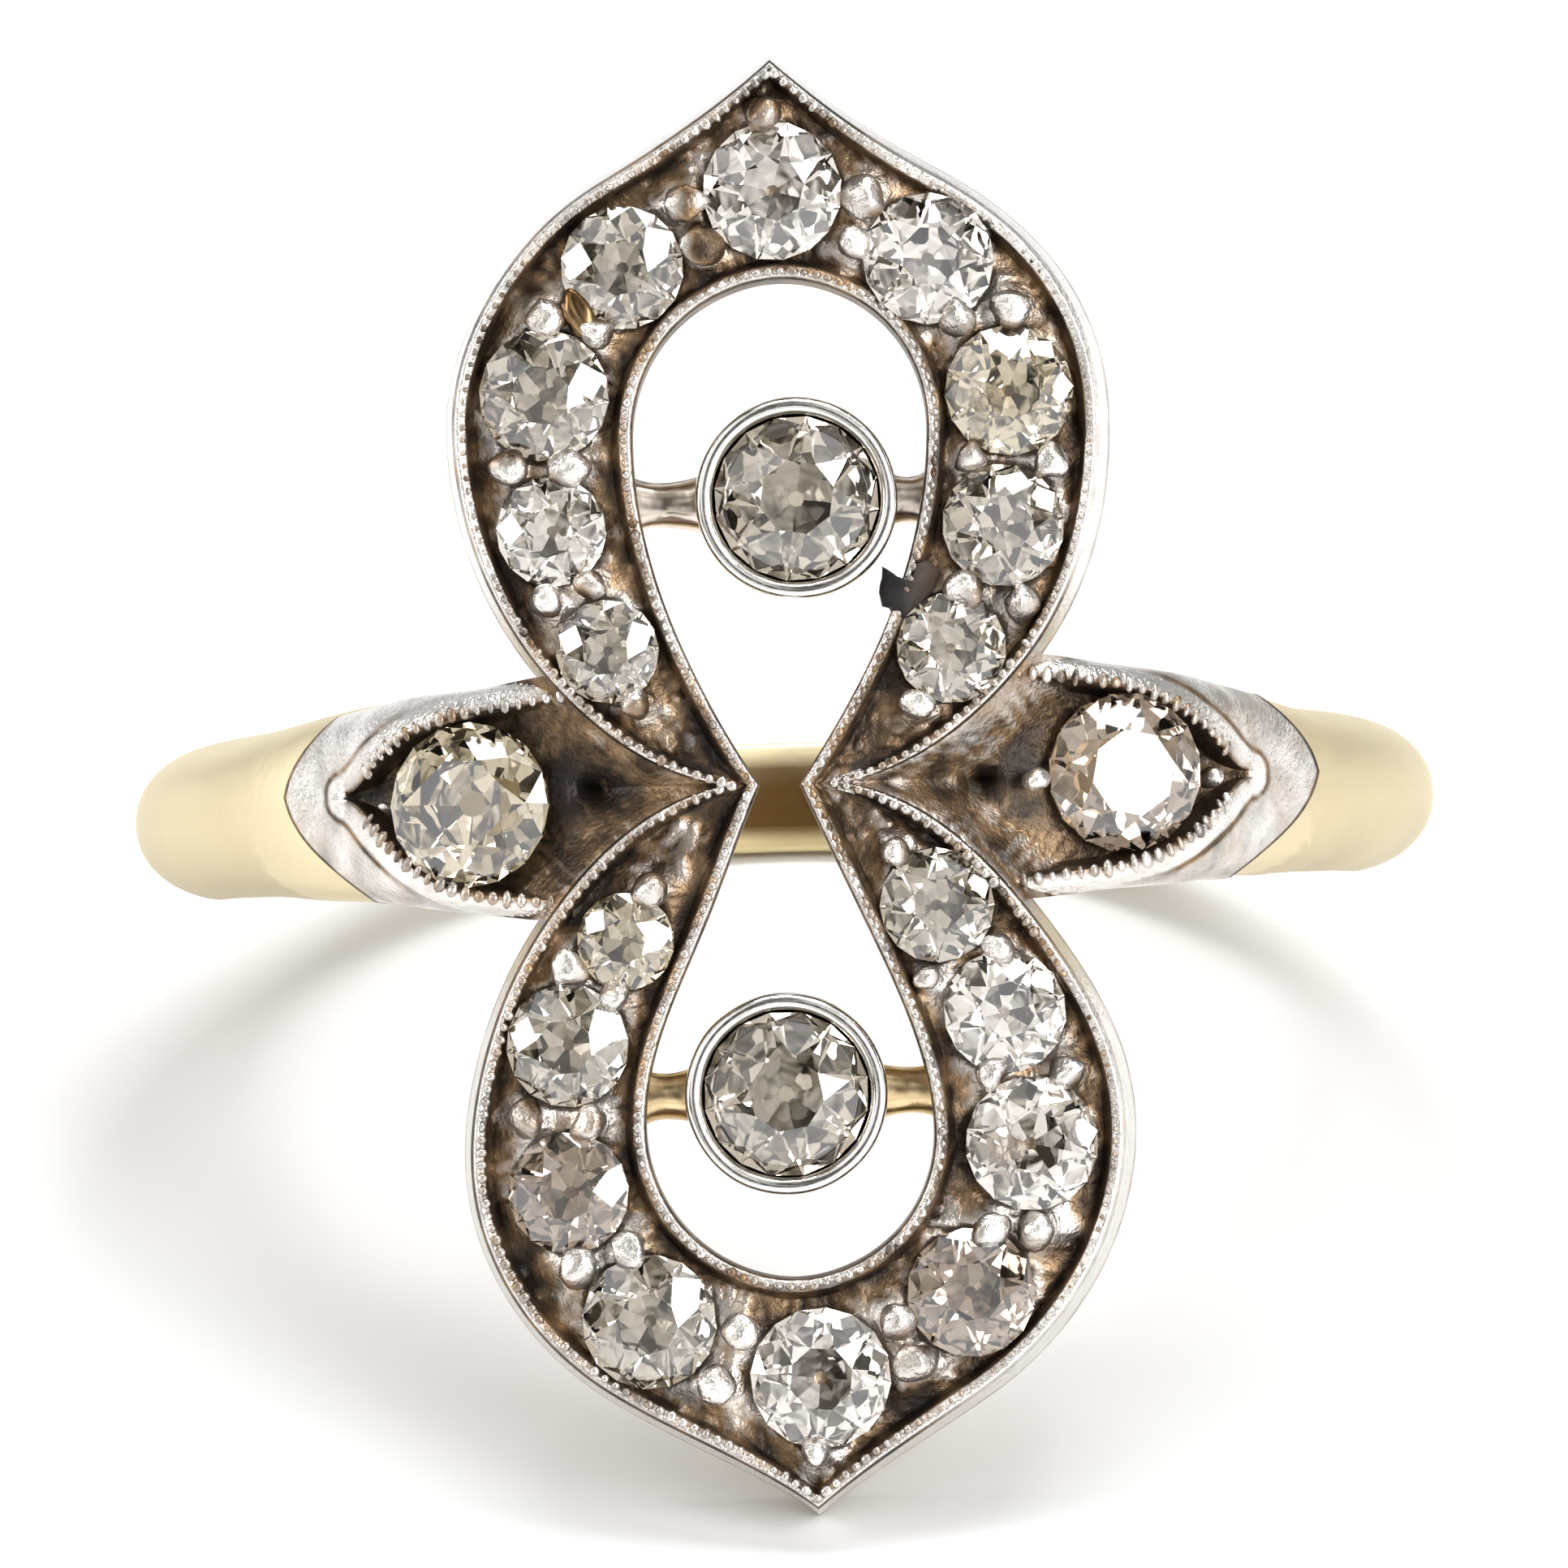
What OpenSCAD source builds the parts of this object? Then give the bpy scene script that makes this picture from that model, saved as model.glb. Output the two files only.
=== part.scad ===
// Cluster ring whose head is a double loop, like a figure of eight, set with old-cut stones.
// A gold shank carries it, with a leaf-shaped stone setting on each shoulder.
// It is built with the finger axis along Y and the head facing +Z, and then laid down
// as it rests by itself: on the tip of the lower loop and the back of the shank.

/* [Finger and shank] */
// Inside diameter of the ring
finger_d = 17.0; // [16.8:0.1:17.4]
// Thickness of the shank from the finger to its crown
shank_t = 1.3; // [1.2:0.05:1.5]
// Half width of the shank at its back
back_half_w = 0.93; // [0.85:0.01:1.1]
// How far the sides of the shank lie from the middle of the head, along the finger
shank_y = -0.2; // [-0.24:0.02:0]

/* [Head] */
// Clear height from the finger's surface to the gold under the loops
gallery_h = 0.4; // [0.35:0.05:0.6]
// Thickness of the gold under the loops
gold_t = 0.5; // [0.4:0.05:0.6]
// Thickness of the silver of the loops
silver_t = 1.1; // [1.05:0.05:1.3]
// Radius of the arch that bends the head round the finger
arch_r = 20; // [18:1:30]
// Width of the rims on both sides of the stones
rim_w = 0.2; // [0.18:0.01:0.26]
// Depth of the channel that the stones sit in
channel_h = 0.4; // [0.3:0.05:0.5]
// How far the outer walls lean out towards the finger
flare = 0.16; // [0.1:0.02:0.24]
// How far the gold under the loops stays inside the edge of their silver
back_inset = 0.1; // [0.1:0.01:0.14]

/* [Collets] */
// Outside diameter of a collet
collet_d = 2.84; // [2.8:0.02:2.9]
// Thickness of a collet's wall
collet_wall = 0.24; // [0.2:0.02:0.28]
// How far a collet stands above the loops
collet_rise = 0.15; // [0.05:0.05:0.3]
// Centre of the upper collet
upper_collet_at = [0.28, 4.0];
// Centre of the lower collet
lower_collet_at = [-0.08, -4.34];

/* [Shoulders] */
// How long the left shoulder is beside the right one
left_share = 0.93; // [0.9:0.01:1]
// How far the stones of the shoulders turn away from the head's axis
stone_lean = 16; // [14:1:20]
// Radius where the silver of the shoulders meets the gold
shoulder_seam_r = 9.28; // [9.2:0.02:9.38]

/* [Fit] */
// Gap between pieces of different metal, and between stones and metal
gap = 0.02; // [0.02:0.01:0.03]

/* [Hidden] */
finger_r = finger_d / 2;
shank_r = finger_r + shank_t;
gold_z = finger_r + gallery_h;
silver_z = gold_z + gold_t;
top_z = silver_z + silver_t;
collet_r = collet_d / 2;
reach = 30;
seg = 96;
// Sides of the collets and of their gold bases
collet_sides = 32;
// Sides of the grains
grain_sides = 6;

// Stones of the upper loop, clockwise from its tip: x, y, diameter, twist
upper_stones = [
    [0.05, 8.33, 1.96, 8],
    [2.24, 7.34, 1.86, 20],
    [3.34, 5.46, 1.84, 3],
    [3.20, 3.58, 1.74, 31],
    [2.42, 1.86, 1.56, 12],
    [-2.45, 1.92, 1.46, 25],
    [-3.20, 3.62, 1.56, 40],
    [-3.26, 5.55, 1.86, 15],
    [-2.10, 7.30, 1.74, 34],
];
// Stones of the lower loop, clockwise from its tip: x, y, diameter, twist
lower_stones = [
    [0.30, -8.33, 1.98, 17],
    [-2.10, -7.50, 1.90, 38],
    [-3.20, -5.66, 1.72, 5],
    [-3.16, -3.60, 1.74, 28],
    [-2.30, -2.15, 1.38, 10],
    [2.12, -1.74, 1.62, 22],
    [3.04, -3.25, 1.74, 36],
    [3.38, -5.12, 1.90, 9],
    [2.46, -7.18, 1.82, 29],
];
// Shoulder stones: side, angle from the head's axis, y, diameter, twist
shoulder_stones = [
    [-1, 25.2, -0.16, 2.34, 22],
    [1, 27.5, 0.06, 2.26, 12],
];
// Grains that hold the stones: x, y, diameter
grains = [
    [1.35, 8.20, 0.54], [1.15, 7.58, 0.46], [2.58, 6.50, 0.50], [3.34, 6.60, 0.50],
    [2.72, 4.52, 0.42], [3.86, 4.42, 0.46], [2.60, 2.70, 0.46], [3.42, 2.46, 0.46],
    [1.90, 1.10, 0.44], [-0.08, 9.42, 0.44], [-1.18, 8.18, 0.50], [-0.96, 7.56, 0.50], [-3.18, 6.66, 0.46],
    [-2.50, 6.40, 0.44], [-3.72, 4.56, 0.46], [-2.92, 4.52, 0.50], [-2.62, 2.86, 0.42],
    [-3.26, 2.66, 0.42], [-2.06, 1.18, 0.40], [-1.92, -1.42, 0.42], [-3.10, -2.52, 0.46],
    [-2.46, -2.94, 0.38], [-3.74, -4.58, 0.46], [-2.86, -4.68, 0.46], [-2.36, -6.46, 0.50],
    [-3.06, -6.72, 0.48], [-1.16, -8.36, 0.54], [-0.84, -7.66, 0.44], [0.20, -9.34, 0.40],
    [1.38, -7.56, 0.46], [1.62, -8.14, 0.54], [2.72, -6.32, 0.48], [3.36, -6.36, 0.46],
    [2.80, -4.12, 0.44], [3.88, -4.16, 0.44], [2.98, -2.36, 0.40], [1.92, -2.76, 0.36],
    [1.54, -0.94, 0.38],
];
// Right half of the outer edge of each loop, from waist to tip: x, y, heading, steps
upper_outer_edge = [
    [0.85, 0.00, 10, 5],
    [3.34, 1.60, 50, 6],
    [4.55, 5.10, 90, 8],
    [2.36, 8.50, 151, 5],
    [0.00, 10.16, 138, 0],
];
lower_outer_edge = [
    [0.85, 0.00, 10, 5],
    [3.22, 1.62, 52, 6],
    [4.60, 5.05, 90, 8],
    [2.61, 8.52, 147, 5],
    [0.00, 10.16, 141, 0],
];
// Right half of the opening of each loop, from waist to tip: x, y, heading, steps
upper_inner_edge = [
    [0.28, 0.00, 56, 5],
    [1.22, 1.62, 64, 6],
    [2.07, 4.95, 90, 8],
    [0.98, 6.82, 152, 5],
    [0.00, 7.08, 180, 0],
];
lower_inner_edge = [
    [0.28, 0.00, 66, 5],
    [1.12, 1.95, 66, 6],
    [2.02, 4.85, 90, 8],
    [0.93, 6.68, 152, 5],
    [0.00, 6.93, 180, 0],
];
// How far the hand-made edges stray to the right: y, outer edge, opening
stray_rows = [
    [-10.2, 0.22, 0.00],
    [-8.6, 0.02, 0.00],
    [-6.5, 0.02, 0.00],
    [-4.0, 0.09, -0.05],
    [-2.0, 0.00, -0.03],
    [0.0, 0.00, -0.06],
    [2.0, 0.04, 0.00],
    [5.0, 0.01, 0.07],
    [7.2, 0.04, 0.13],
    [8.6, -0.02, 0.13],
    [10.2, 0.06, 0.13],
];
// Shank and its part under the head: angle, half width, outer radius, squareness
band_rows = [
    [0, 1.66, 9.40, 6],
    [20, 1.62, 9.55, 6],
    [36, 1.41, 9.80, 5],
    [46, 1.31, shank_r, 3.2],
    [56, 1.23, shank_r, 2.4],
    [90, 1.18, shank_r, 2.1],
    [180, back_half_w, shank_r - 0.05, 2],
];
// Where the shank and the leaf-shaped recesses lie along the finger: angle from the head's axis,
// share of shank_y, middle of the recess
middle_rows = [
    [-180, -0.4, 0.03],
    [-90, 1.0, 0.03],
    [-46, 0.7, 0.03],
    [-34, 0.45, 0.00],
    [-24, 0.6, -0.15],
    [-10, 0.3, -0.08],
    [0, 0.0, 0.00],
    [20, -0.2, 0.03],
    [31, 0.0, 0.02],
    [40, 0.3, 0.02],
    [50, 0.8, 0.02],
    [64, 1.0, 0.02],
    [90, 1.1, 0.02],
    [180, -0.4, 0.03],
];
// Shoulder setting: angle, rim radius, half width, squareness, recess half width, recess depth
shoulder_rows = [
    [18, 10.56, 1.75, 7, 1.42, 0.50],
    [22, 10.66, 1.71, 7, 1.35, 0.57],
    [27, 10.76, 1.61, 6, 1.23, 0.66],
    [31, 10.76, 1.56, 5, 0.99, 0.68],
    [35, 10.62, 1.51, 4.2, 0.58, 0.60],
    [38, 10.44, 1.45, 3.8, 0.18, 0.40],
    [40, 10.26, 1.42, 3.5, 0.05, 0],
    [46, 9.94, 1.35, 3.0, 0.05, 0],
    [55, 9.83, 1.26, 2.5, 0.05, 0],
];
// Floor between the loops, from the waist to a shoulder, with the same columns
valley_rows = [
    [3, 9.90, 0.22, 6, 0.12, 0],
    [9, 9.92, 1.10, 6, 0.60, 0],
    [16, 9.96, 1.76, 6, 1.00, 0],
];
// Edge between silver and gold on the right shoulder, seen from the front: x, y, heading, steps
join_edge = [
    [6.02, 1.80, -42, 5],
    [7.76, 0.00, -78, 0],
];
// Where the points of that edge lie along the finger
join_y = 0.05;

function turn(a) = [cos(a), sin(a)];
function xy(p) = [p[0], p[1]];

// Smooth curve through rows of x, y, heading and steps
function bend(a, b) =
    let (
        h = norm(xy(b) - xy(a)) / 3 / pow(cos((b[2] - a[2]) / 4), 2),
        p = xy(a) + h * turn(a[2]),
        q = xy(b) - h * turn(b[2])
    )
    [for (i = [0:a[3] - 1]) let (t = i / a[3], s = 1 - t)
        s * s * s * xy(a) + 3 * s * s * t * p + 3 * s * t * t * q + t * t * t * xy(b)];
function curve(rows) = concat(
    [for (k = [0:len(rows) - 2]) each bend(rows[k], rows[k + 1])],
    [xy(rows[len(rows) - 1])]
);
// Closed path round both loops from the right halves of the upper and lower one
function whole(upper, lower) =
    let (n = len(upper))
    concat(
        upper,
        [for (i = [n - 2:-1:0]) [-upper[i][0], upper[i][1]]],
        [for (i = [1:n - 1]) [-lower[i][0], -lower[i][1]]],
        [for (i = [n - 2:-1:1]) [lower[i][0], -lower[i][1]]]
    );
// Points moved from one path away from another, or towards it when the distance is negative
function moved(path, other, d) =
    [for (k = [0:len(path) - 1]) path[k] + d * (path[k] - other[k]) / norm(path[k] - other[k])];
function halfway(path) = [for (k = [0:len(path) - 1]) (path[k] + path[(k + 1) % len(path)]) / 2];

// Values from rows at a key in their first column, eased from row to row
function slope(rows, i) =
    i == 0 || i == len(rows) - 1
        ? 0 * rows[i]
        : (rows[i + 1] - rows[i - 1]) / (rows[i + 1][0] - rows[i - 1][0]);
function row_at(rows, key, i = 0) =
    i < len(rows) - 2 && key > rows[i + 1][0]
        ? row_at(rows, key, i + 1)
        : let (h = rows[i + 1][0] - rows[i][0], t = (key - rows[i][0]) / h, s = 1 - t)
            s * s * (1 + 2 * t) * rows[i] + t * t * (1 + 2 * s) * rows[i + 1]
            + s * t * h * (s * slope(rows, i) - t * slope(rows, i + 1));

// Path with its points strayed by a column of stray_rows
function strayed(path, column) = [for (p = path) p + [row_at(stray_rows, p[1])[column], 0]];

outer_path = strayed(whole(curve(upper_outer_edge), curve(lower_outer_edge)), 1);
inner_path = strayed(whole(curve(upper_inner_edge), curve(lower_inner_edge)), 2);

// Height of the arched head at x, below a crown at z
function arched(x, z) = z - arch_r + sqrt(arch_r * arch_r - x * x);

// How far the outer wall leans out below a point of the outer edge: less on the left, and not
// beyond the middle of the waist
function lean_at(o) = min(flare * (1 + 0.05 * o[0]), 0.8 * abs(o[1]));

// Section of a loop between a point of its outer edge and one of its opening
function loop_section(o, i) =
    let (
        w = norm(i - o),
        u = (i - o) / w,
        rim = min(rim_w, 0.36 * w),
        foot = min(rim_w + 0.1, 0.44 * w),
        deep = channel_h * min(1, w / 1.2),
        lean = lean_at(o),
        foot_z = silver_z + gap
    )
    [
        for (s = [
            [(o - lean * u + i) / 2, foot_z],
            [o - lean * u, foot_z],
            [o - 0.1 * lean * u, top_z - 0.14],
            [o + 0.3 * rim * u, top_z],
            [o + rim * u, top_z - 0.05],
            [o + foot * u, top_z - deep],
            [i - foot * u, top_z - deep],
            [i - rim * u, top_z - 0.05],
            [i - 0.3 * rim * u, top_z],
            [i, top_z - 0.12],
            [i, foot_z],
        ]) [s[0][0], s[0][1], arched(s[0][0], s[1])]
    ];

// How far the middle of the shank lies along the finger at an angle from the head's axis
function shank_shift(a) = shank_y * row_at(middle_rows, a)[1];
function recess_shift(a) = row_at(middle_rows, a)[2];

// Section of the shank at an angle from the head's axis
band_root_r = finger_r - 0.3;
function band_section(a) =
    let (row = row_at(band_rows, a <= 180 ? a : 360 - a))
    [
        for (k = [0:8]) let (
            t = k * 22.5,
            y = row[1] * sign(cos(t)) * pow(abs(cos(t)), 2 / row[3]),
            r = band_root_r + (row[2] - band_root_r) * pow(sin(t), 2 / row[3])
        ) [r * sin(a), y + shank_shift(a > 180 ? a - 360 : a), r * cos(a)]
    ];

// Section of the shoulder's silver at an angle on one side: a crown with a recess along its middle
shoulder_root_r = shoulder_seam_r - 0.2;
function crown_r(row, y) =
    shoulder_root_r + (row[1] - shoulder_root_r) * pow(1 - pow(y / row[2], row[3]), 1 / row[3]);
function shoulder_section(side, a, row) =
    let (
        lip = row[4] + 0.05,
        deep = max(0, row[5]),
        outside = shank_shift(side * a),
        inside = recess_shift(side * a),
        half = concat(
            [
                for (f = [1, 0.9, 0.6, 0.25, 0]) let (y = lip + (row[2] - lip) * f)
                    [y, crown_r(row, y), inside + (outside - inside) * f]
            ],
            [[row[4], crown_r(row, row[4]) - min(0.05, deep), inside]],
            [[0.86 * row[4], crown_r(row, row[4]) - deep, inside]]
        ),
        across = concat([for (q = half) [-q[0], q[1], q[2]]], [for (k = [len(half) - 1:-1:0]) half[k]])
    )
    [for (p = across) [p[1] * sin(a), p[0] + p[2], p[1] * cos(a)]];

// How far below the finger axis the resting ring reaches at each of its two supports
tip_y = lower_outer_edge[len(lower_outer_edge) - 1][1];
lower_tip = strayed([[0, -tip_y]], 1)[0];
function tip_depth(tilt) = max(
    (tip_y + lean_at(lower_tip)) * cos(tilt) - arched(lower_tip[0], silver_z + gap) * sin(tilt),
    (tip_y - back_inset) * cos(tilt) - arched(lower_tip[0], gold_z) * sin(tilt)
);
function back_depth(tilt) = max([for (p = band_section(180)) -p[1] * cos(tilt) - p[2] * sin(tilt)]);
function settle(low, high, n) =
    let (mid = (low + high) / 2)
    n == 0 ? mid : back_depth(mid) > tip_depth(mid) ? settle(low, mid, n - 1) : settle(mid, high, n - 1);
tilt = settle(15, 40, 30);
front_y = -(tip_y * sin(tilt) + top_z * cos(tilt));
back_y = max([for (p = band_section(180)) p[1] * sin(tilt) - p[2] * cos(tilt)]);

STONES = concat(
    [for (i = [0:len(upper_stones) - 1]) str("upper_stone_", i + 1)],
    [for (i = [0:len(lower_stones) - 1]) str("lower_stone_", i + 1)]
);

// Lays the ring down as it rests
module resting() {
    translate([0, -(front_y + back_y) / 2, tip_depth(tilt)]) rotate([90 - tilt, 0, 0]) children();
}

// Solid through a list of sections, either joined into a ring or closed at both ends
module loft(sections, ring = false) {
    m = len(sections[0]);
    n = len(sections);
    last = ring ? n - 1 : n - 2;
    sides = [
        for (i = [0:last], j = [0:m - 1]) let (
            a = i * m + j,
            b = i * m + (j + 1) % m,
            c = ((i + 1) % n) * m + j,
            d = ((i + 1) % n) * m + (j + 1) % m
        ) each [[a, b, d], [a, d, c]]
    ];
    ends = ring ? [] : [[for (j = [m - 1:-1:0]) j], [for (j = [0:m - 1]) (n - 1) * m + j]];
    polyhedron([for (s = sections) each s], concat(sides, ends), convexity = 8);
}

// Cylinder along the finger
module along_finger(r) {
    rotate([90, 0, 0]) cylinder(r = r, h = reach, center = true, $fn = seg);
}

// The space between two arches, over a flat outline
module arched_slab(z0, z1) {
    intersection() {
        translate([0, 0, z0 - 3]) linear_extrude(z1 - z0 + 6) children();
        difference() {
            translate([0, 0, z1 - arch_r]) along_finger(arch_r);
            translate([0, 0, z0 - arch_r]) along_finger(arch_r);
        }
    }
}

// Outline of the one opening that runs through both loops and the slit at the waist
module opening_outline(grow) {
    polygon(moved(inner_path, outer_path, -grow));
}

// Outline of both loops, with their opening filled
module loops_outline(grow) {
    polygon(moved(outer_path, inner_path, grow));
}

// Bars between a loop and its collet, or the notches for them
module bars(at, grow) {
    end_x = upper_inner_edge[2][0] + 0.24 + grow;
    translate([0, at[1], silver_z - 0.42 - grow]) linear_extrude(0.56 + 2 * grow) for (s = [-1, 1]) polygon([
        [s * end_x, -0.32 - grow],
        [s * 1.75, -0.28 - grow],
        [at[0] + s * (collet_r - 0.2), -0.38 - grow],
        [at[0] + s * (collet_r - 0.2), 0.38 + grow],
        [s * 1.75, 0.28 + grow],
        [s * end_x, 0.32 + grow],
    ]);
}

// Gold base of a collet
module collet_base(at) {
    translate([at[0], at[1], gold_z + 0.05]) difference() {
        cylinder(r = collet_r - 0.06, h = gold_t + 0.14, $fn = collet_sides);
        translate([0, 0, -1]) cylinder(r = 0.82, h = 3, $fn = 12);
    }
}

// Column over the shoulders inside the edge where silver and gold meet
module shoulder_column(grow) {
    half = curve(join_edge);
    right = concat(half, [for (i = [len(half) - 2:-1:0]) [half[i][0], -half[i][1]]]);
    translate([0, join_y, 0]) linear_extrude(top_z + 1) polygon(concat(
        [for (p = right) [p[0] + grow, p[1]]],
        [for (i = [len(right) - 1:-1:0]) [-right[i][0] * left_share - grow, right[i][1]]]
    ));
}

// Places for the stones: each child is drawn at its girdle, with +Z out of the setting
module on_arch(row, sink) {
    lean = asin(row[0] / arch_r);
    translate([row[0], row[1], arched(row[0], top_z)])
        rotate([0, lean, row[3]]) translate([0, 0, -sink]) children();
}
module on_shoulder(row) {
    share = row[0] < 0 ? left_share : 1;
    rim_r = row_at(shoulder_rows, row[1] / share)[1];
    rotate([0, row[0] * row[1], 0]) translate([0, row[2], rim_r - 0.3])
        rotate([0, row[0] * (stone_lean - row[1]), row[4]]) children();
}
module on_collet(at) {
    translate([at[0], at[1], top_z + collet_rise - 0.24]) children();
}

girdle_sink = 0.16;
// How far the silver of the shoulders reaches under the outer edge of the loops
wall_bite = 0.04;
crown_h = 0.16;
girdle_h = 0.03;
pavilion_h = 0.40;

// Round seat for a stone, with a hole below it that lets light in from the back
module seat(d) {
    sides = 12;
    r = (d / 2 + gap) / cos(180 / sides);
    hole_r = 0.26 * d;
    rotate(7) rotate_extrude($fn = sides) polygon([
        [0, -3],
        [hole_r, -3],
        [hole_r, -pavilion_h * d * (1 - 2 * hole_r / d) - 0.2],
        [r, -girdle_h * d - gap],
        [r, 2],
        [0, 2],
    ]);
}
module back_hole(d) {
    translate([0, 0, -3]) cylinder(r = 0.26 * d, h = 3 - 0.2 * d, $fn = 12);
}

// Old-cut stone: octagonal table, stars, kites, girdle, pavilion and a small flat culet
module stone(d, table = 0.46) {
    r = d / 2;
    g = girdle_h * d;
    table_r = table * r;
    culet_r = 0.1 * r;
    // Kites and pavilion mains are flat, so their side corners lie on the plane of the other three
    mid_r = 0.78 * r;
    mid_z = crown_h * d * (r - mid_r * cos(22.5)) / (r - table_r);
    low_r = 0.72 * r;
    low_z = -g - (pavilion_h * d - g) * (r - low_r * cos(22.5)) / (r - culet_r * cos(22.5));
    points = concat(
        [for (k = [0:7]) concat(table_r * turn(45 * k), [crown_h * d])],
        [for (k = [0:7]) concat(mid_r * turn(45 * k + 22.5), [mid_z])],
        [for (k = [0:15]) concat(r * turn(22.5 * k), [0])],
        [for (k = [0:15]) concat(r * turn(22.5 * k), [-g])],
        [for (k = [0:7]) concat(low_r * turn(45 * k + 22.5), [low_z])],
        [for (k = [0:7]) concat(culet_r * turn(45 * k + 22.5), [-pavilion_h * d])]
    );
    faces = concat(
        [[for (k = [7:-1:0]) k]],
        [for (k = [0:7]) [k, (k + 1) % 8, 8 + k]],
        [for (k = [0:7]) [k, 8 + k, 16 + 2 * k, 8 + (k + 7) % 8]],
        [for (k = [0:7]) [8 + k, 17 + 2 * k, 16 + 2 * k]],
        [for (k = [0:7]) [8 + k, 16 + (2 * k + 2) % 16, 17 + 2 * k]],
        [for (k = [0:15]) [16 + k, 16 + (k + 1) % 16, 32 + (k + 1) % 16, 32 + k]],
        [for (k = [0:7]) [48 + k, 32 + 2 * k, 33 + 2 * k]],
        [for (k = [0:7]) [48 + k, 33 + 2 * k, 32 + (2 * k + 2) % 16]],
        [for (k = [0:7]) [32 + 2 * k, 48 + k, 56 + k, 56 + (k + 7) % 8, 48 + (k + 7) % 8]],
        [[for (k = [0:7]) 56 + k]]
    );
    polyhedron(points, faces);
}

module each_seat() {
    for (row = concat(upper_stones, lower_stones)) on_arch(row, girdle_sink) seat(row[2]);
    for (row = shoulder_stones) on_shoulder(row) seat(row[3]);
}

// Bead of silver raised beside a stone
module grain(row) {
    on_arch([row[0], row[1], 0, 0], 0) hull() {
        translate([0, 0, -channel_h - 0.1]) cylinder(d = row[2], h = 0.1, $fn = grain_sides);
        translate([0, 0, 0.02]) cylinder(d = 0.5 * row[2], h = 0.05, $fn = grain_sides);
    }
}

module gold_shank() {
    color("khaki") resting() difference() {
        union() {
            difference() {
                union() {
                    difference() {
                        loft([for (a = [352.5:-7.5:0]) band_section(a)], ring = true);
                        difference() {
                            shoulder_column(gap);
                            along_finger(shoulder_seam_r);
                        }
                    }
                    difference() {
                        arched_slab(gold_z, silver_z) loops_outline(-back_inset);
                        for (row = concat(upper_stones, lower_stones)) on_arch(row, girdle_sink) back_hole(row[2]);
                    }
                }
                linear_extrude(top_z + 1) opening_outline(0.06);
            }
            for (at = [upper_collet_at, lower_collet_at]) {
                bars(at, 0);
                collet_base(at);
            }
        }
        along_finger(finger_r);
        for (row = shoulder_stones) on_shoulder(row) back_hole(1.3 * row[3]);
    }
}

// Silver of a shoulder, from the waist to its join with the gold, drawn on the right; its sections
// stand a little beside the corners of the round cut below it
module shoulder_loft(side, share) {
    loft(concat(
        [for (row = valley_rows) shoulder_section(side, row[0] * share, row)],
        [for (a = [18.1:2:54.1]) shoulder_section(side, a * share, row_at(shoulder_rows, a))]
    ));
}

// Silver of both shoulders, up to the walls of the loops
module shoulder_silver() {
    difference() {
        intersection() {
            union() {
                shoulder_loft(1, 1);
                mirror([1, 0, 0]) shoulder_loft(-1, left_share);
            }
            shoulder_column(0);
        }
        linear_extrude(top_z + 3) polygon(halfway(moved(outer_path, inner_path, -wall_bite)));
        along_finger(shoulder_seam_r + gap);
    }
}

module silver_head() {
    color("silver") resting() difference() {
        union() {
            loft([for (k = [0:len(outer_path) - 1]) loop_section(outer_path[k], inner_path[k])], ring = true);
            shoulder_silver();
            for (row = grains) grain(row);
        }
        for (at = [upper_collet_at, lower_collet_at]) bars(at, gap);
        each_seat();
    }
}

module collet(at) {
    low = silver_z + 0.22;
    high = top_z + collet_rise;
    inner = collet_r - collet_wall;
    color("gainsboro") resting() translate([at[0], at[1], 0]) rotate_extrude($fn = collet_sides) polygon([
        [inner - 0.25, low],
        [collet_r - 0.08, low],
        [collet_r, high - 0.3],
        [collet_r - 0.02, high - 0.1],
        [collet_r - 0.09, high],
        [inner + 0.05, high],
        [inner, high - 0.06],
        [inner, high - 0.34],
        [inner - 0.25, high - 0.6],
    ]);
}
module upper_collet() { collet(upper_collet_at); }
module lower_collet() { collet(lower_collet_at); }

collet_stone_d = 2 * (collet_r - collet_wall - gap);
module upper_collet_stone() { color("white") resting() on_collet(upper_collet_at) rotate(14) stone(collet_stone_d); }
module lower_collet_stone() { color("white") resting() on_collet(lower_collet_at) rotate(33) stone(collet_stone_d); }
module shoulder_stone(row) { color("white") resting() on_shoulder(row) stone(row[3], table = 0.55); }
module left_shoulder_stone() { shoulder_stone(shoulder_stones[0]); }
module right_shoulder_stone() { shoulder_stone(shoulder_stones[1]); }
module loop_stone(row) { color("white") resting() on_arch(row, girdle_sink) stone(row[2]); }

gold_shank();
silver_head();
upper_collet();
lower_collet();
upper_collet_stone();
lower_collet_stone();
left_shoulder_stone();
right_shoulder_stone();
for (i = [0:len(STONES) - 1])
    loop_stone(concat(upper_stones, lower_stones)[i]);
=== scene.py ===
import math

import bmesh
import bpy
import numpy as np
from mathutils import Matrix, Vector


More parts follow.
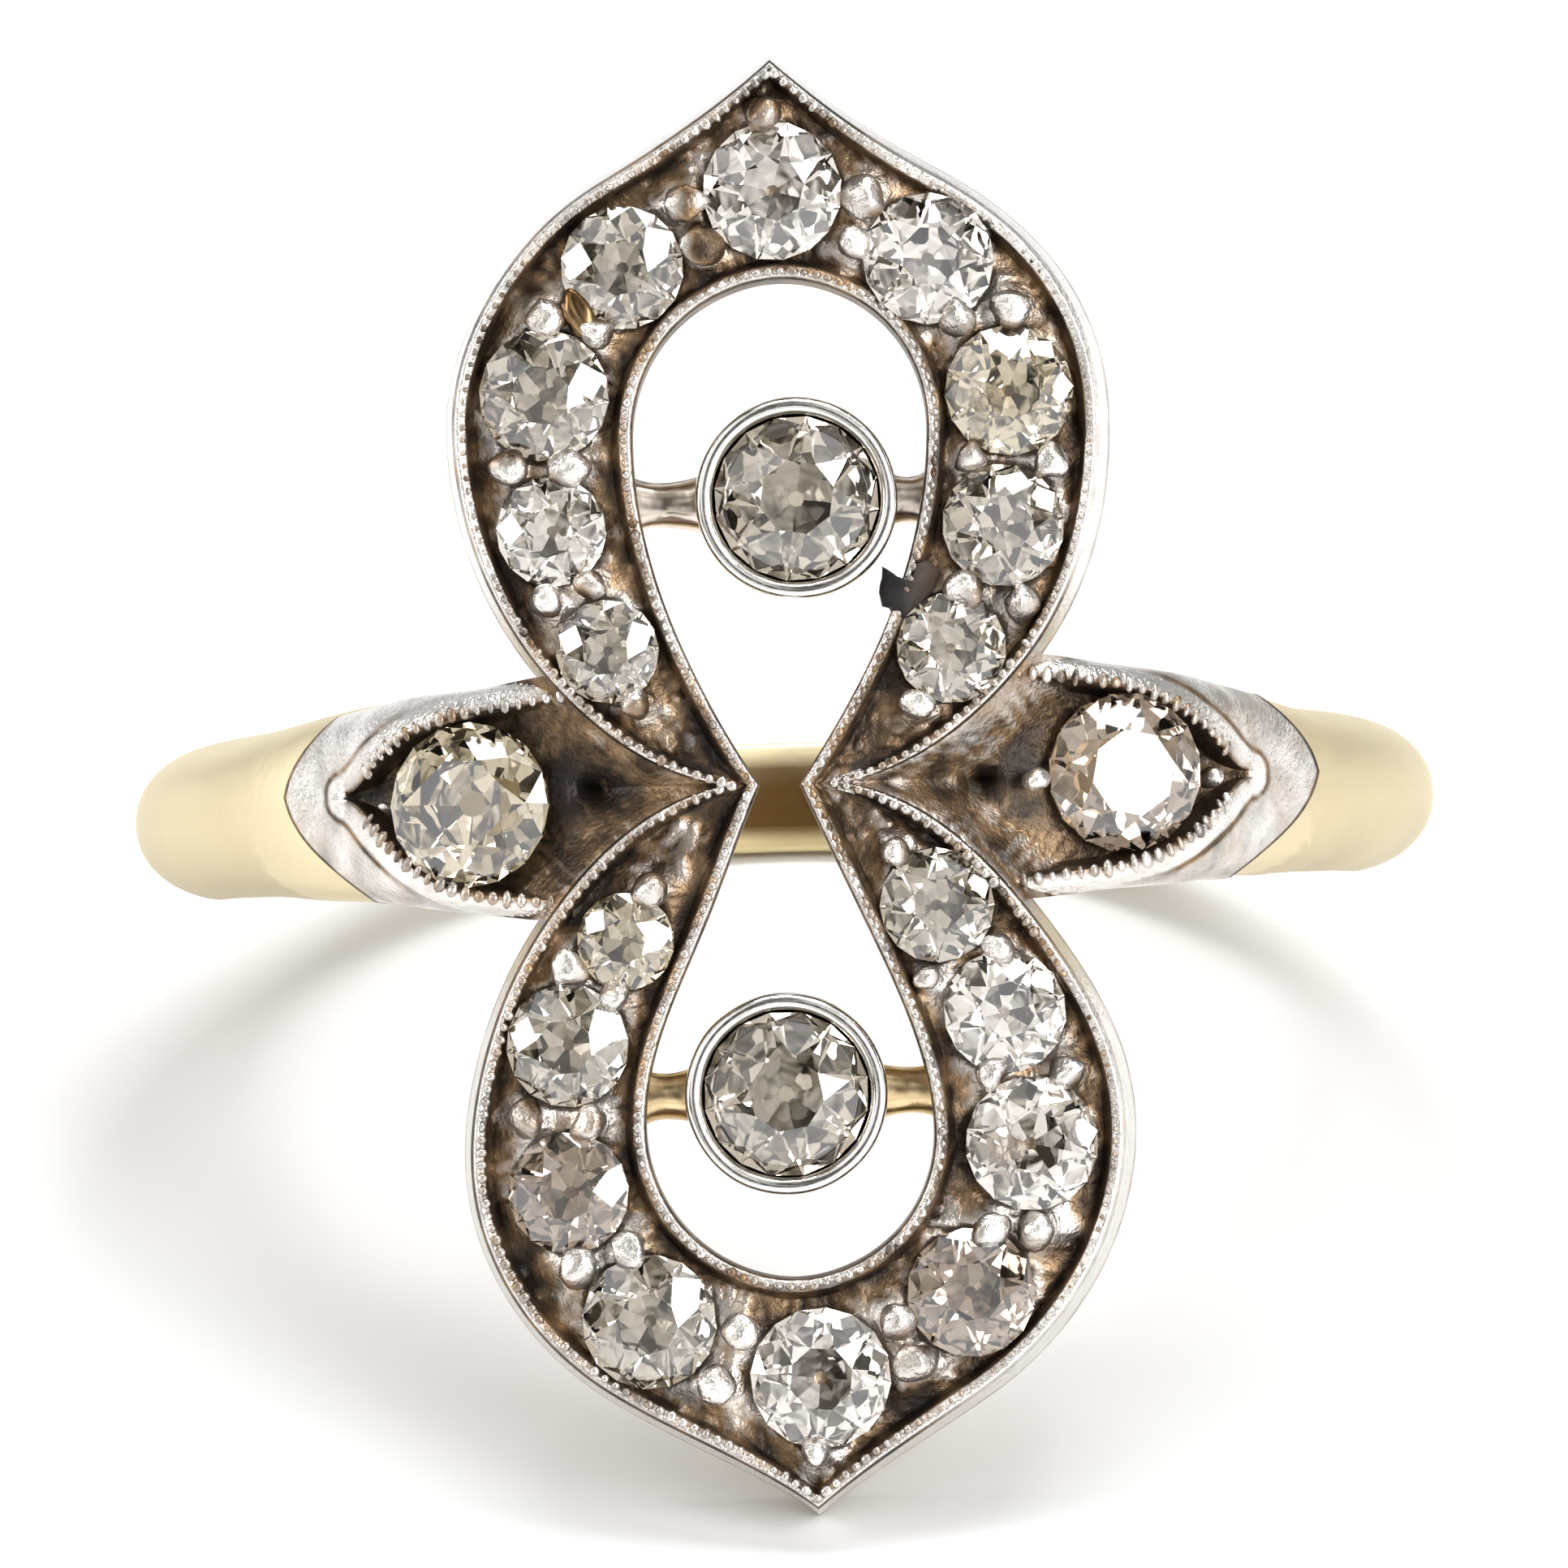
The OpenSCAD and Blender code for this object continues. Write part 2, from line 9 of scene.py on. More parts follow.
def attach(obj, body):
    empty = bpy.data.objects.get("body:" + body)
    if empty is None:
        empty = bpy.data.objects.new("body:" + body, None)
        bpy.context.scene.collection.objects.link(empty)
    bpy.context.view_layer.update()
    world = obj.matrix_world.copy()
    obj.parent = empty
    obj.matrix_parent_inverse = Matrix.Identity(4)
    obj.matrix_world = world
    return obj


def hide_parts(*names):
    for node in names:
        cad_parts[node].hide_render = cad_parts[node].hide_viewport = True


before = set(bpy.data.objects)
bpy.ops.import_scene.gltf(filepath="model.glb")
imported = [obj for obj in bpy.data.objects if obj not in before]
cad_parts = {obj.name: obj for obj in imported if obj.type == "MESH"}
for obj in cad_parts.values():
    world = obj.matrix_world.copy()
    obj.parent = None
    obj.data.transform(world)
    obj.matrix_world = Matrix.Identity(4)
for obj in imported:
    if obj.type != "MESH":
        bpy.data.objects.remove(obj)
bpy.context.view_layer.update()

# The ring is drawn in millimetres with the finger axis along Y and the head facing +Z, as its
# solids are, and then laid down as it rests. The main sizes repeat those of the solids.
MM = 0.001
REST_TILT = math.radians(27.5267)
REST_PLACE = np.array([0, 2.63192, 4.80848])
# Radii about the finger axis: the finger hole, the root of the shank's outer curve, and the seam
# between gold and silver at the shoulders
FINGER_R = 8.5
BAND_ROOT_R = 8.2
SEAM_R = 9.3
SHANK_Y = -0.2
# Crown of the gold bed, of the silver and of the rims above the finger axis, and their arch
GOLD_Z = 8.9
SILVER_Z = 9.4
TOP_Z = 10.5
ARCH_R = 20
# Loops: rims, channel between them, flare of the outer walls, gap to the gold
RIM_W = 0.2
CHANNEL_H = 0.4
FLARE = 0.16
GAP = 0.02
LOOP_END_Y = 10.2
# Walls of the cups that hold the stones fall this much for each millimetre inwards
CUP_SLOPE = 0.83
GIRDLE_SINK = 0.16
COLLET_R = 1.42
COLLET_WALL = 0.24
COLLET_TOP = 10.65
BAR_Z = SILVER_Z - 0.14
STONE_LEAN = 16
# The left shoulder is shorter than the right one by this share
LEFT_SHARE = 0.93

# Stones of the loops, clockwise from each tip: x, y, diameter
UPPER_STONES = [
    (0.05, 8.33, 1.96), (2.24, 7.34, 1.86), (3.34, 5.46, 1.84), (3.20, 3.58, 1.74),
    (2.42, 1.86, 1.56), (-2.45, 1.92, 1.46), (-3.20, 3.62, 1.56), (-3.26, 5.55, 1.86),
    (-2.10, 7.30, 1.74)]
LOWER_STONES = [
    (0.30, -8.33, 1.98), (-2.10, -7.50, 1.90), (-3.20, -5.66, 1.72), (-3.16, -3.60, 1.74),
    (-2.30, -2.15, 1.38), (2.12, -1.74, 1.62), (3.04, -3.25, 1.74), (3.38, -5.12, 1.90),
    (2.46, -7.18, 1.82)]
LOOP_STONES = np.array(UPPER_STONES + LOWER_STONES)
# Stones of the shoulders: side, angle from the head's axis, y, diameter
SHOULDER_STONES = [(-1, 25.2, -0.16, 2.34), (1, 27.5, 0.06, 2.26)]
# Middles of the collets: x, y
COLLETS = {"upper": (0.28, 4.0), "lower": (-0.08, -4.34)}
# Grains beside the stones of the loops: x, y, diameter
GRAINS = [
    (1.35, 8.20, 0.54), (1.15, 7.58, 0.46), (2.58, 6.50, 0.50), (3.34, 6.60, 0.50),
    (2.72, 4.52, 0.42), (3.86, 4.42, 0.46), (2.60, 2.70, 0.46), (3.42, 2.46, 0.46),
    (1.90, 1.10, 0.44), (-0.08, 9.42, 0.44), (-1.18, 8.18, 0.50), (-0.96, 7.56, 0.50),
    (-3.18, 6.66, 0.46), (-2.50, 6.40, 0.44), (-3.72, 4.56, 0.46), (-2.92, 4.52, 0.50),
    (-2.62, 2.86, 0.42), (-3.26, 2.66, 0.42), (-2.06, 1.18, 0.40), (-1.92, -1.42, 0.42),
    (-3.10, -2.52, 0.46), (-2.46, -2.94, 0.38), (-3.74, -4.58, 0.46), (-2.86, -4.68, 0.46),
    (-2.36, -6.46, 0.50), (-3.06, -6.72, 0.48), (-1.16, -8.36, 0.54), (-0.84, -7.66, 0.44),
    (0.20, -9.34, 0.40), (1.38, -7.56, 0.46), (1.62, -8.14, 0.54), (2.72, -6.32, 0.48),
    (3.36, -6.36, 0.46), (2.80, -4.12, 0.44), (3.88, -4.16, 0.44), (2.98, -2.36, 0.40),
    (1.92, -2.76, 0.36), (1.54, -0.94, 0.38)]
# Grains on the shoulders: x, y, radius from the finger axis, width
SHOULDER_GRAINS = [
    (3.55, -0.02, 10.42, 0.34), (6.06, -0.03, 10.36, 0.30), (-5.62, -0.18, 10.36, 0.24)]
# Right half of each loop's outer edge and of its opening, from waist to tip: x, y, heading and
# steps to the next row
UPPER_OUTER = [
    (0.85, 0, 10, 5), (3.34, 1.60, 50, 6), (4.55, 5.10, 90, 8), (2.36, 8.50, 151, 5),
    (0, 10.16, 138, 0)]
LOWER_OUTER = [
    (0.85, 0, 10, 5), (3.22, 1.62, 52, 6), (4.60, 5.05, 90, 8), (2.61, 8.52, 147, 5),
    (0, 10.16, 141, 0)]
UPPER_INNER = [
    (0.28, 0, 56, 5), (1.22, 1.62, 64, 6), (2.07, 4.95, 90, 8), (0.98, 6.82, 152, 5),
    (0, 7.08, 180, 0)]
LOWER_INNER = [
    (0.28, 0, 66, 5), (1.12, 1.95, 66, 6), (2.02, 4.85, 90, 8), (0.93, 6.68, 152, 5),
    (0, 6.93, 180, 0)]
# Each step of those rows is cut this fine
FINE = 9
# How far the hand-made edges stray to the right: y, outer edge, opening
STRAY_ROWS = [
    (-10.2, 0.22, 0), (-8.6, 0.02, 0), (-6.5, 0.02, 0), (-4, 0.09, -0.05), (-2, 0, -0.03),
    (0, 0, -0.06), (2, 0.04, 0), (5, 0.01, 0.07), (7.2, 0.04, 0.13), (8.6, -0.02, 0.13),
    (10.2, 0.06, 0.13)]
# Shank: angle from the head's axis, half width, outer radius, squareness
BAND_ROWS = [
    (0, 1.66, 9.40, 6), (20, 1.62, 9.55, 6), (36, 1.41, 9.80, 5), (46, 1.31, 9.80, 3.2),
    (56, 1.23, 9.80, 2.4), (90, 1.18, 9.80, 2.1), (180, 0.93, 9.742, 2)]
# Middle of the shank and of the recesses: angle from the head's axis, share of SHANK_Y, middle of
# the recess
MIDDLE_ROWS = [
    (-180, -0.4, 0.03), (-90, 1, 0.03), (-46, 0.7, 0.03), (-34, 0.45, 0), (-24, 0.6, -0.15),
    (-10, 0.3, -0.08), (0, 0, 0), (20, -0.2, 0.03), (31, 0, 0.02), (40, 0.3, 0.02),
    (50, 0.8, 0.02), (64, 1, 0.02), (90, 1.1, 0.02), (180, -0.4, 0.03)]
# Shoulder: angle, rim radius, half width, squareness, recess half width, recess depth
SHOULDER_ROWS = [
    (18, 10.56, 1.75, 7, 1.42, 0.50), (22, 10.66, 1.71, 7, 1.35, 0.57),
    (27, 10.76, 1.61, 6, 1.23, 0.66), (31, 10.76, 1.56, 5, 0.99, 0.68),
    (35, 10.62, 1.51, 4.2, 0.58, 0.60), (38, 10.44, 1.45, 3.8, 0.19, 0.42),
    (40, 10.26, 1.42, 3.5, 0.06, 0.18), (41, 10.20, 1.41, 3.4, 0.05, 0),
    (46, 9.94, 1.35, 3.0, 0.05, 0), (55, 9.83, 1.26, 2.5, 0.05, 0)]
# The same from the waist to the shoulder
VALLEY_ROWS = [(3, 9.90, 0.22, 6, 0.12, 0), (9, 9.92, 1.10, 6, 0.60, 0), (16, 9.96, 1.76, 6, 1.00, 0)]
VALLEY_START, VALLEY_END, SHOULDER_START = 3, 16, 18
# Where the silver of a shoulder ends on the gold: x, y, heading, steps
JOIN_EDGE = [(6.02, 1.80, -42, 24), (7.76, 0.00, -78, 0)]
JOIN_Y = 0.05


# Shapes in the plane of the head

def heading(degrees):
    """Direction in the plane of the head, turned from the X axis."""
    return np.array([math.cos(math.radians(degrees)), math.sin(math.radians(degrees))])


def edge_curve(rows, fine):
    """Smooth curve through rows of x, y, heading and steps."""
    points = []
    for a, b in zip(rows, rows[1:]):
        pa, pb = np.array(a[:2], float), np.array(b[:2], float)
        handle = np.linalg.norm(pb - pa) / 3 / math.cos(math.radians(b[2] - a[2]) / 4) ** 2
        qa, qb = pa + handle * heading(a[2]), pb - handle * heading(b[2])
        for i in range(a[3] * fine):
            t = i / (a[3] * fine)
            s = 1 - t
            points.append(s ** 3 * pa + 3 * s * s * t * qa + 3 * s * t * t * qb + t ** 3 * pb)
    points.append(np.array(rows[-1][:2], float))
    return np.array(points)


def arched(x, z):
    """Height of the arched head at x, below a crown at z."""
    return z - ARCH_R + np.sqrt(ARCH_R ** 2 - np.square(x))


def row_at(rows, key):
    """Values at a key of the first column, on a smooth curve through the rows."""
    rows = np.array(rows, float)
    i = int(np.clip(np.searchsorted(rows[:, 0], key) - 1, 0, len(rows) - 2))

    def slope(k):
        if k in (0, len(rows) - 1):
            return 0 * rows[k]
        return (rows[k + 1] - rows[k - 1]) / (rows[k + 1][0] - rows[k - 1][0])

    h = rows[i + 1][0] - rows[i][0]
    t = (key - rows[i][0]) / h
    s = 1 - t
    return (s * s * (1 + 2 * t) * rows[i] + t * t * (1 + 2 * s) * rows[i + 1]
            + s * t * h * (s * slope(i) - t * slope(i + 1)))


def whole(upper, lower, column):
    """Closed path round both loops from their right halves, strayed as by hand."""
    left = np.array([-1, 1])
    path = np.concatenate([upper, upper[-2::-1] * left, lower[1:] * -1, lower[-2:0:-1] * -left])
    return path + [(row_at(STRAY_ROWS, y)[column], 0) for y in path[:, 1]]


outer_path = whole(edge_curve(UPPER_OUTER, FINE), edge_curve(LOWER_OUTER, FINE), 1)
inner_path = whole(edge_curve(UPPER_INNER, FINE), edge_curve(LOWER_INNER, FINE), 2)
across_w = np.linalg.norm(inner_path - outer_path, axis=1)
across = (inner_path - outer_path) / across_w[:, None]


def shank_shift(a):
    """Where the middle of the shank lies along the finger at a signed angle from the head's axis."""
    return SHANK_Y * row_at(MIDDLE_ROWS, a)[1]


def recess_shift(a):
    """Where the middle of a shoulder's recess lies along the finger."""
    return row_at(MIDDLE_ROWS, a)[2]


# Numbers that scatter the values at the corners of the noise's cells
CELL_PRIMES = np.array([73856093, 19349663, 83492791])
CELL_STIR = 2654435
SEED_STEP = 31.7


def hand_noise(points, scale, seed):
    """Smooth noise from -1 to 1 that gives surfaces the small unevenness of hand work."""
    q = np.asarray(points, float).reshape(-1, 3) * scale + SEED_STEP * (seed + 1)
    cell = np.floor(q).astype(np.int64)
    f = q - cell
    f = f * f * (3 - 2 * f)
    total = np.zeros(len(q))
    for corner in range(8):
        step = np.array([corner >> 2 & 1, corner >> 1 & 1, corner & 1])
        h = (cell + step) * CELL_PRIMES
        h = (h[:, 0] ^ h[:, 1] ^ h[:, 2]) & 0xFFFFFF
        h = (h * CELL_STIR >> 7) & 0xFFFF
        total += np.prod(np.where(step, f, 1 - f), axis=1) * (h / 32767.5 - 1)
    return total


# Making pieces

def laid_down(points):
    """Millimetres in the frame of the head to metres in the frame of the resting ring."""
    p = np.asarray(points, float).reshape(-1, 3)
    sin, cos = math.sin(REST_TILT), math.cos(REST_TILT)
    y = p[:, 1] * sin - p[:, 2] * cos
    z = p[:, 1] * cos + p[:, 2] * sin
    return (np.stack([p[:, 0], y, z], axis=1) + REST_PLACE) * MM


def grid_faces(n, m, ring=True):
    """Quads between n sections of m points each; the sections join into a ring or stay open."""
    faces = []
    for k in range(n if ring else n - 1):
        for j in range(m):
            a, b = k * m + j, k * m + (j + 1) % m
            c, d = ((k + 1) % n) * m + (j + 1) % m, ((k + 1) % n) * m + j
            faces.append((a, b, c, d))
    return faces


def end_caps(n, m):
    """One face over each end of n sections of m points."""
    return [tuple(range(m - 1, -1, -1)), tuple(range((n - 1) * m, n * m))]


def paired_cap(start, m, flip):
    """Quads over an end section whose first half lies over its second half in reverse."""
    last = start + m - 1
    faces = [(start + j, start + j + 1, last - 1 - j, last - j) for j in range(m // 2 - 1)]
    return [f[::-1] for f in faces] if flip else faces


def placed(name, data):
    """An object in the scene, at the origin."""
    o = bpy.data.objects.new(name, data)
    bpy.context.scene.collection.objects.link(o)
    return o


def tell(mesh, name, kind, values):
    """Writes one value or vector for each point of a mesh as an attribute."""
    field = "vector" if kind == "FLOAT_VECTOR" else "value"
    values = np.asarray(values, np.float32).reshape(-1)
    mesh.attributes.new(name, kind, "POINT").data.foreach_set(field, values)


def evaluated(o):
    """The mesh of an object with its modifiers applied."""
    return bpy.data.meshes.new_from_object(o.evaluated_get(bpy.context.evaluated_depsgraph_get()))


def piece(name, points, faces, material, tarnish_and_shade, sharp=40):
    """A closed mesh as an object of its own, with faces outwards."""
    p = laid_down(points)
    volume = 0.0
    for f in faces:
        for i in range(1, len(f) - 1):
            volume += np.dot(p[f[0]], np.cross(p[f[i]], p[f[i + 1]]))
    if volume < 0:
        faces = [tuple(reversed(f)) for f in faces]
    mesh = bpy.data.meshes.new(name)
    mesh.from_pydata(p.tolist(), [], faces)
    mesh.validate()
    tell(mesh, "tarnish_and_shade", "FLOAT", tarnish_and_shade)
    mesh.polygons.foreach_set("use_smooth", [True] * len(mesh.polygons))
    mesh.set_sharp_from_angle(angle=math.radians(sharp))
    mesh.materials.append(material)
    return placed(name, mesh)


def turned(name, profile, centre, material, sides, wear=0.0, seed=0):
    """A ring turned about an axis through centre, from rows of radius, height and tone of tarnish and
    painted reflection.
    """
    points, dull = [], []
    for k in range(sides):
        a = 2 * math.pi * k / sides
        for r, z, tone in profile:
            points.append((centre[0] + r * math.cos(a), centre[1] + r * math.sin(a), z))
            dull.append(tone)
    points = np.array(points)
    if wear:
        push = wear * hand_noise(points, 1.7, seed)
        out = points[:, :2] - np.array(centre)
        points[:, :2] += out / np.linalg.norm(out, axis=1)[:, None] * push[:, None]
    return piece(name, points, grid_faces(sides, len(profile)), material, dull)


def joined(name, objects):
    """Several pieces as one object that keeps their materials."""
    bm = bmesh.new()
    materials = []
    for o in objects:
        for m in o.data.materials:
            if m not in materials:
                materials.append(m)
    mesh = bpy.data.meshes.new(name)
    for m in materials:
        mesh.materials.append(m)
    for o in objects:
        spot = materials.index(o.data.materials[0])
        before = len(bm.faces)
        bm.from_mesh(o.data)
        bm.faces.ensure_lookup_table()
        for f in bm.faces[before:]:
            f.material_index = spot
        bpy.data.objects.remove(o)
    bm.to_mesh(mesh)
    bm.free()
    return placed(name, mesh)


def fitted(o, slot, *nodes):
    """The piece rides on the ring and stands for its solids, which it hides."""
    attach(o, "root")
    if nodes:
        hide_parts(*nodes)
    return o


# Materials

# Sockets of a Mix node that mixes colours
MIX_FIRST, MIX_SECOND, MIX_RESULT = 6, 7, 2


class Finish:
    """A node material with a few short ways to add nodes."""

    def __init__(self, name):
        self.material = bpy.data.materials.new(name)
        self.material.use_nodes = True
        self.tree = self.material.node_tree
        self.shader = self.tree.nodes["Principled BSDF"]
        self.place = self.add("ShaderNodeTexCoord").outputs["Object"]

    def add(self, kind, **values):
        n = self.tree.nodes.new(kind)
        for key, value in values.items():
            if hasattr(n, key):
                setattr(n, key, value)
            else:
                self.put(n.inputs[key.replace("_", " ")], value)
        return n

    def put(self, socket, value):
        if isinstance(value, bpy.types.NodeSocket):
            self.tree.links.new(value, socket)
        else:
            socket.default_value = value

    def set(self, **values):
        for key, value in values.items():
            self.put(self.shader.inputs[key.replace("_", " ")], value)

    def noise(self, scale, detail=3.0, stretch=None):
        n = self.add("ShaderNodeTexNoise", Scale=scale, Detail=detail, Roughness=0.55)
        place = self.place
        if stretch:
            m = self.add("ShaderNodeMapping", Scale=stretch)
            self.put(m.inputs["Vector"], self.place)
            place = m.outputs[0]
        self.put(n.inputs["Vector"], place)
        return n.outputs["Fac"]

    def math(self, operation, a, b):
        n = self.add("ShaderNodeMath", operation=operation)
        self.put(n.inputs[0], a)
        self.put(n.inputs[1], b)
        return n.outputs[0]

    def spread(self, value, low, high, to_low=0.0, to_high=1.0):
        n = self.add("ShaderNodeMapRange")
        for socket, v in zip(n.inputs, (value, low, high, to_low, to_high)):
            self.put(socket, v)
        return n.outputs[0]

    def mix(self, share, a, b):
        n = self.add("ShaderNodeMix", data_type="RGBA")
        self.put(n.inputs["Factor"], share)
        self.put(n.inputs[MIX_FIRST], a)
        self.put(n.inputs[MIX_SECOND], b)
        return n.outputs[MIX_RESULT]

    def bump(self, height, strength, distance):
        n = self.add("ShaderNodeBump", Strength=strength, Distance=distance)
        self.put(n.inputs["Height"], height)
        return n.outputs[0]

    def uneven_tarnish_and_shade(self, scale, share, low, high):
        """The tarnish and painted shade of a piece, made uneven by noise."""
        uneven = self.math("MULTIPLY", self.noise(scale, 3), share)
        return self.spread(self.math("ADD", self.own("tarnish_and_shade"), uneven), low, high)

    def own(self, name):
        return self.add("ShaderNodeAttribute", attribute_name=name).outputs["Fac"]


def worn_silver():
    """Old silver: bright where rubbed, brown where tarnish has settled and where shade is painted,
    nearly black deep down.
    """
    f = Finish("worn_silver")
    bright, umber, ochre, black = ((0.91, 0.875, 0.835, 1), (0.075, 0.048, 0.030, 1),
                                   (0.38, 0.25, 0.14, 1), (0.022, 0.015, 0.011, 1))
    patch = f.noise(2600, 4)
    fine = f.noise(12000, 3)
    dull = f.math("ADD", f.own("tarnish_and_shade"), f.math("MULTIPLY", f.math("SUBTRACT", patch, 0.5), 0.9))
    dull = f.spread(dull, 0.05, 1.0)
    warm = f.mix(f.spread(f.noise(1700, 3), 0.38, 0.62), umber, ochre)
    deep = f.spread(f.own("tarnish_and_shade"), 0.95, 1.5)
    warm = f.mix(deep, warm, black)
    gloss = f.spread(f.math("ADD", dull, f.math("MULTIPLY", fine, 0.3)), 0.0, 1.3, 0.15, 0.42)
    grit = f.math("ADD", f.math("MULTIPLY", patch, 0.9), fine)
    f.set(Base_Color=f.mix(dull, bright, warm), Metallic=f.spread(deep, 0.0, 1.0, 0.9, 0.4),
          Roughness=gloss, Normal=f.bump(grit, 0.55, 0.00005))
    return f.material


def polished_silver():
    """Collets: plain polished silver with fine rubbing marks."""
    f = Finish("polished_silver")
    dull = f.uneven_tarnish_and_shade(2100, 0.3, 0.15, 1.1)
    marks = f.noise(5200, 3, stretch=(1.0, 6.0, 1.0))
    f.set(Base_Color=f.mix(dull, (0.93, 0.915, 0.89, 1), (0.17, 0.125, 0.09, 1)), Metallic=1.0,
          Roughness=f.spread(marks, 0.3, 0.7, 0.10, 0.22), Normal=f.bump(marks, 0.12, 0.00002))
    return f.material


def soft_gold():
    """Yellow gold with the soft gloss of long wear, and a painted glow of deeper yellow low at the back
    of the shank, where light falls on it.
    """
    f = Finish("soft_gold")
    cloud = f.noise(420, 3)
    marks = f.noise(3400, 4, stretch=(1.0, 4.0, 1.0))
    dull = f.spread(f.own("tarnish_and_shade"), 0.0, 1.0)
    pale = f.mix(cloud, (0.96, 0.86, 0.62, 1), (0.93, 0.80, 0.52, 1))
    axes = f.add("ShaderNodeSeparateXYZ")
    f.put(axes.inputs[0], f.place)
    # Painted light: low at the back of the shank the gold is tinted a deeper, glowing yellow
    back = f.spread(axes.outputs["Y"], 0.0092, 0.0108)
    low = f.spread(axes.outputs["Z"], 0.0012, 0.0006)
    pale = f.mix(f.math("MULTIPLY", back, low), pale, (0.96, 0.76, 0.33, 1))
    gloss = f.spread(f.math("ADD", marks, f.math("MULTIPLY", cloud, 0.4)), 0.3, 1.0, 0.40, 0.56)
    f.set(Base_Color=f.mix(dull, pale, (0.13, 0.075, 0.028, 1)), Metallic=1.0, Roughness=gloss,
          Normal=f.bump(marks, 0.16, 0.00003))
    return f.material


def bar_gold(name, colour):
    """Bars of the collets: gold rubbed to a hard shine."""
    f = Finish(name)
    dull = f.uneven_tarnish_and_shade(1500, 0.5, 0.3, 1.2)
    f.set(Base_Color=f.mix(dull, colour, (0.17, 0.09, 0.035, 1)), Metallic=1.0,
          Roughness=f.spread(f.noise(4100, 3), 0.3, 0.7, 0.15, 0.30),
          Normal=f.bump(f.noise(1900, 2), 0.3, 0.00008))
    return f.material


def old_cut(name, tint, cloud_share):
    """Old-cut stone with a faint body colour and cloudy spots."""
    f = Finish(name)
    cloud = f.spread(f.noise(3100, 3), 0.52, 0.66)
    milky = tuple(0.8 * c for c in tint[:3]) + (1,)
    f.set(Base_Color=f.mix(f.math("MULTIPLY", cloud, cloud_share), tint, milky),
          Transmission_Weight=1.0, IOR=2.42, Roughness=f.spread(cloud, 0.0, 1.0, 0.0, 0.05),
          Normal=f.bump(f.noise(1100, 2), 0.14, 0.00009))
    return f.material


def caked_dirt():
    """Dark dirt caught beside a broken rim."""
    f = Finish("caked_dirt")
    brown = f.uneven_tarnish_and_shade(5200, 0.6, 0.3, 1.6)
    f.set(Base_Color=f.mix(brown, (0.005, 0.004, 0.004, 1), (0.085, 0.056, 0.042, 1)),
          Metallic=0.0, Roughness=0.7, Normal=f.bump(f.noise(9000, 3), 0.5, 0.00004))
    return f.material


SILVER = worn_silver()
POLISHED = polished_silver()
GOLD = soft_gold()
ROSY_BARS = bar_gold("rosy_bar_gold", (0.96, 0.84, 0.74, 1))
YELLOW_BARS = bar_gold("yellow_bar_gold", (0.96, 0.73, 0.42, 1))
DIRT = caked_dirt()


# Silver of the loops

# Heights from the top of the rims: where there is no stone, and the lowest that a cup may reach
NO_SEAT = 1
DEEPEST_SEAT = -1.05


def seat_floor(x, y):
    """Height of the cups under the stones, from the top of the rims, or NO_SEAT."""
    depth = np.full(np.shape(x), NO_SEAT, float)
    for sx, sy, d in LOOP_STONES:
        rho = np.hypot(x - sx, y - sy)
        cup = -GIRDLE_SINK - 0.03 * d - 0.12 - CUP_SLOPE * np.clip(d / 2 - rho, 0, 1)
        here = rho < d / 2 + 0.02
        depth = np.where(here, np.minimum(depth, np.maximum(cup, DEEPEST_SEAT)), depth)
    return depth


def beside_grains(x, y):
    """1 at the middle of a grain, falling to nothing about a grain's width away."""
    mound = np.zeros(np.shape(x))
    for gx, gy, d in GRAINS:
        mound = np.maximum(mound, np.exp(-((x - gx) ** 2 + (y - gy) ** 2) / (0.8 * d) ** 2))
    return mound


def rubbed(xy):
    """How far the milgrain is worn away along the loops: most on the right, least on the lower left."""
    x, y = xy[:, 0], xy[:, 1]
    flank = np.clip((np.abs(y) - 2.0) / 1.2, 0, 1) * np.clip((9.4 - np.abs(y)) / 0.8, 0, 1)
    return flank * np.where(x > 0, np.where(y > 0, 1.0, 0.8), np.where(y > 0, 0.5, 0.1))


def rim_widths():
    """Width of the rims along the loops, narrower where the loops are narrow."""
    return np.minimum(RIM_W, 0.36 * across_w)


